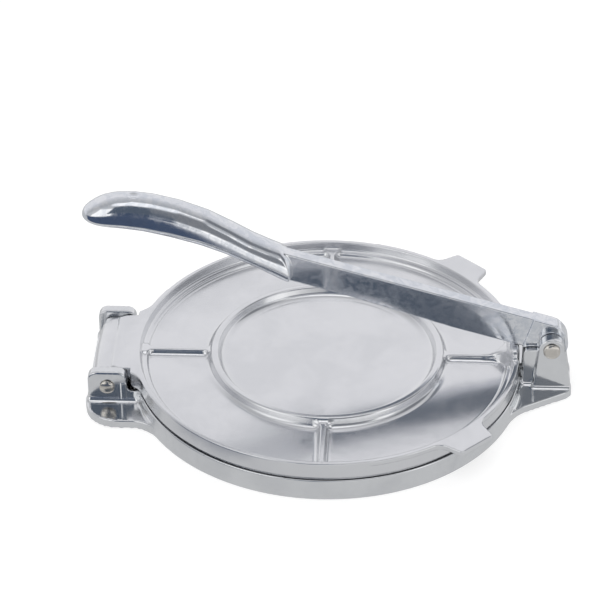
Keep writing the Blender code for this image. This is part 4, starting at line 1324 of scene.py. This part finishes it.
    def lay_card(self) -> None:
        """A glowing sheet under the press, which only the metal shows, painted with the table's light and
        shade: grey with painted shade behind and close in front of the press, bright farther in front, and a
        painted dark reflection at the left front.
        """
        sizes = self.sizes
        material = bpy.data.materials.new("table_glow_painted_shade")
        material.use_nodes = True
        nodes = Nodes(material.node_tree)
        material.node_tree.nodes.remove(material.node_tree.nodes["Principled BSDF"])
        parts = nodes.add("ShaderNodeSeparateXYZ", {0: nodes.add("ShaderNodeTexCoord").outputs["Object"]})
        side = parts.outputs["X"]
        front = nodes.math("MULTIPLY", parts.outputs["Y"], -1.0)
        # Painted shade: the sheet is grey behind the press and close in front of it, and bright only farther
        # in front
        ahead = nodes.spread(front, 0.14, 0.22)
        colour = nodes.mix(ahead, (0.60, 0.605, 0.615), (0.95, 0.95, 0.96))
        reach = nodes.add("ShaderNodeVectorMath", {0: nodes.add("ShaderNodeTexCoord").outputs["Object"]},
                          operation="LENGTH").outputs["Value"]
        # Painted dark reflection: a dark blue patch at the left front of the sheet, which the grip mirrors as
        # a dark band
        left = nodes.math("MULTIPLY", nodes.spread(side, -0.045, -0.085), nodes.spread(front, 0.062, 0.078))
        left = nodes.math("MULTIPLY", left, nodes.spread(reach, 0.122, 0.142))
        colour = nodes.mix(left, colour, (0.065, 0.09, 0.15))
        glow = nodes.add("ShaderNodeEmission", {"Color": colour, "Strength": 1.0})
        out = material.node_tree.nodes["Material Output"]
        material.node_tree.links.new(glow.outputs[0], out.inputs["Surface"])
        half, level = sizes.card_half, -sizes.card_drop
        corners = [(-half, -half, level), (half, -half, level), (half, half, level), (-half, half, level)]
        self.sheet("table_glow_painted_shade", corners, [(0, 1, 2, 3)], material, False)

    def set_lamps(self) -> None:
        """A soft key from above in front and a weaker fill from behind, for floor and shadow."""
        for name, place, size, power in LAMPS:
            data = bpy.data.lights.new(name, "AREA")
            data.size = size
            data.energy = power
            lamp = bpy.data.objects.new(name, data)
            lamp.location = place
            lamp.rotation_euler = (-Vector(place)).to_track_quat("-Z", "Y").to_euler()
            lamp.visible_glossy = False
            bpy.context.scene.collection.objects.link(lamp)

    def set_world(self) -> None:
        """White to the camera and to the metal, and a plain grey light otherwise."""
        world = bpy.data.worlds.new("studio_world")
        world.use_nodes = True
        nodes = Nodes(world.node_tree)
        path = nodes.add("ShaderNodeLightPath")
        seen = nodes.math("MAXIMUM", path.outputs["Is Camera Ray"],
                          nodes.math("MAXIMUM", path.outputs["Is Glossy Ray"],
                                     path.outputs["Is Transmission Ray"]))
        background = world.node_tree.nodes["Background"]
        background.inputs["Color"].default_value = (1.0, 1.0, 1.0, 1.0)
        strength = nodes.spread(seen, 0.0, 1.0, 0.45, 1.0)
        world.node_tree.links.new(strength, background.inputs["Strength"])
        bpy.context.scene.world = world
        bpy.context.scene.view_settings.view_transform = "Standard"


# The press

@dataclass(frozen=True)
class Piece:
    """One piece of the press: the node it finishes, the body it rides on and its metal."""

    node: str
    body: str
    finish: Finish


PIECES = (
    (Piece("base_plate", "base", Finish.BASE), BasePlate()),
    (Piece("upper_plate", "top", Finish.PLATE), UpperPlate()),
    (Piece("lever", "handle", Finish.LEVER), Lever()),
)
RIVETS = (
    (Piece("hinge_pin", "base", Finish.STEEL), HINGE, RivetSizes(2.5, 4.0, 3.6, 31.4)),
    (Piece("lever_pin", "base", Finish.STEEL), PIVOT, RivetSizes(2.8, 4.5, 4.0, 11.2)),
)


class Press:
    """The whole press, piece by piece."""

    def __init__(self) -> None:
        """Make the pieces' builders."""
        self.skin = cast_skin_group()
        self.metals = {finish: finish.value.build(self.skin) for finish in Finish}

    def build(self) -> None:
        """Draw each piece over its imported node."""
        for piece, casting in PIECES:
            item = draw_casting(piece.node + "_finish", casting.field, casting.lattice(), casting.axes())
            self.settle_in(piece, item)
        for piece, place, sizes in RIVETS:
            self.settle_in(piece, Rivet(piece.node + "_finish", place, sizes).build())

    def settle_in(self, piece: Piece, item: bpy.types.Object) -> None:
        """Give a piece its metal and its body, and hide the imported node that it stands for."""
        item.data.materials.append(self.metals[piece.finish])
        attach(item, piece.body)
        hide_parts(piece.node)
        LOG.info("%s: %d faces", item.name, len(item.data.polygons))


def main() -> None:
    """Build the press and its studio."""
    logging.basicConfig(level=logging.INFO, format="%(message)s")
    Press().build()
    Studio().build()


if __name__ == "__main__":
    main()
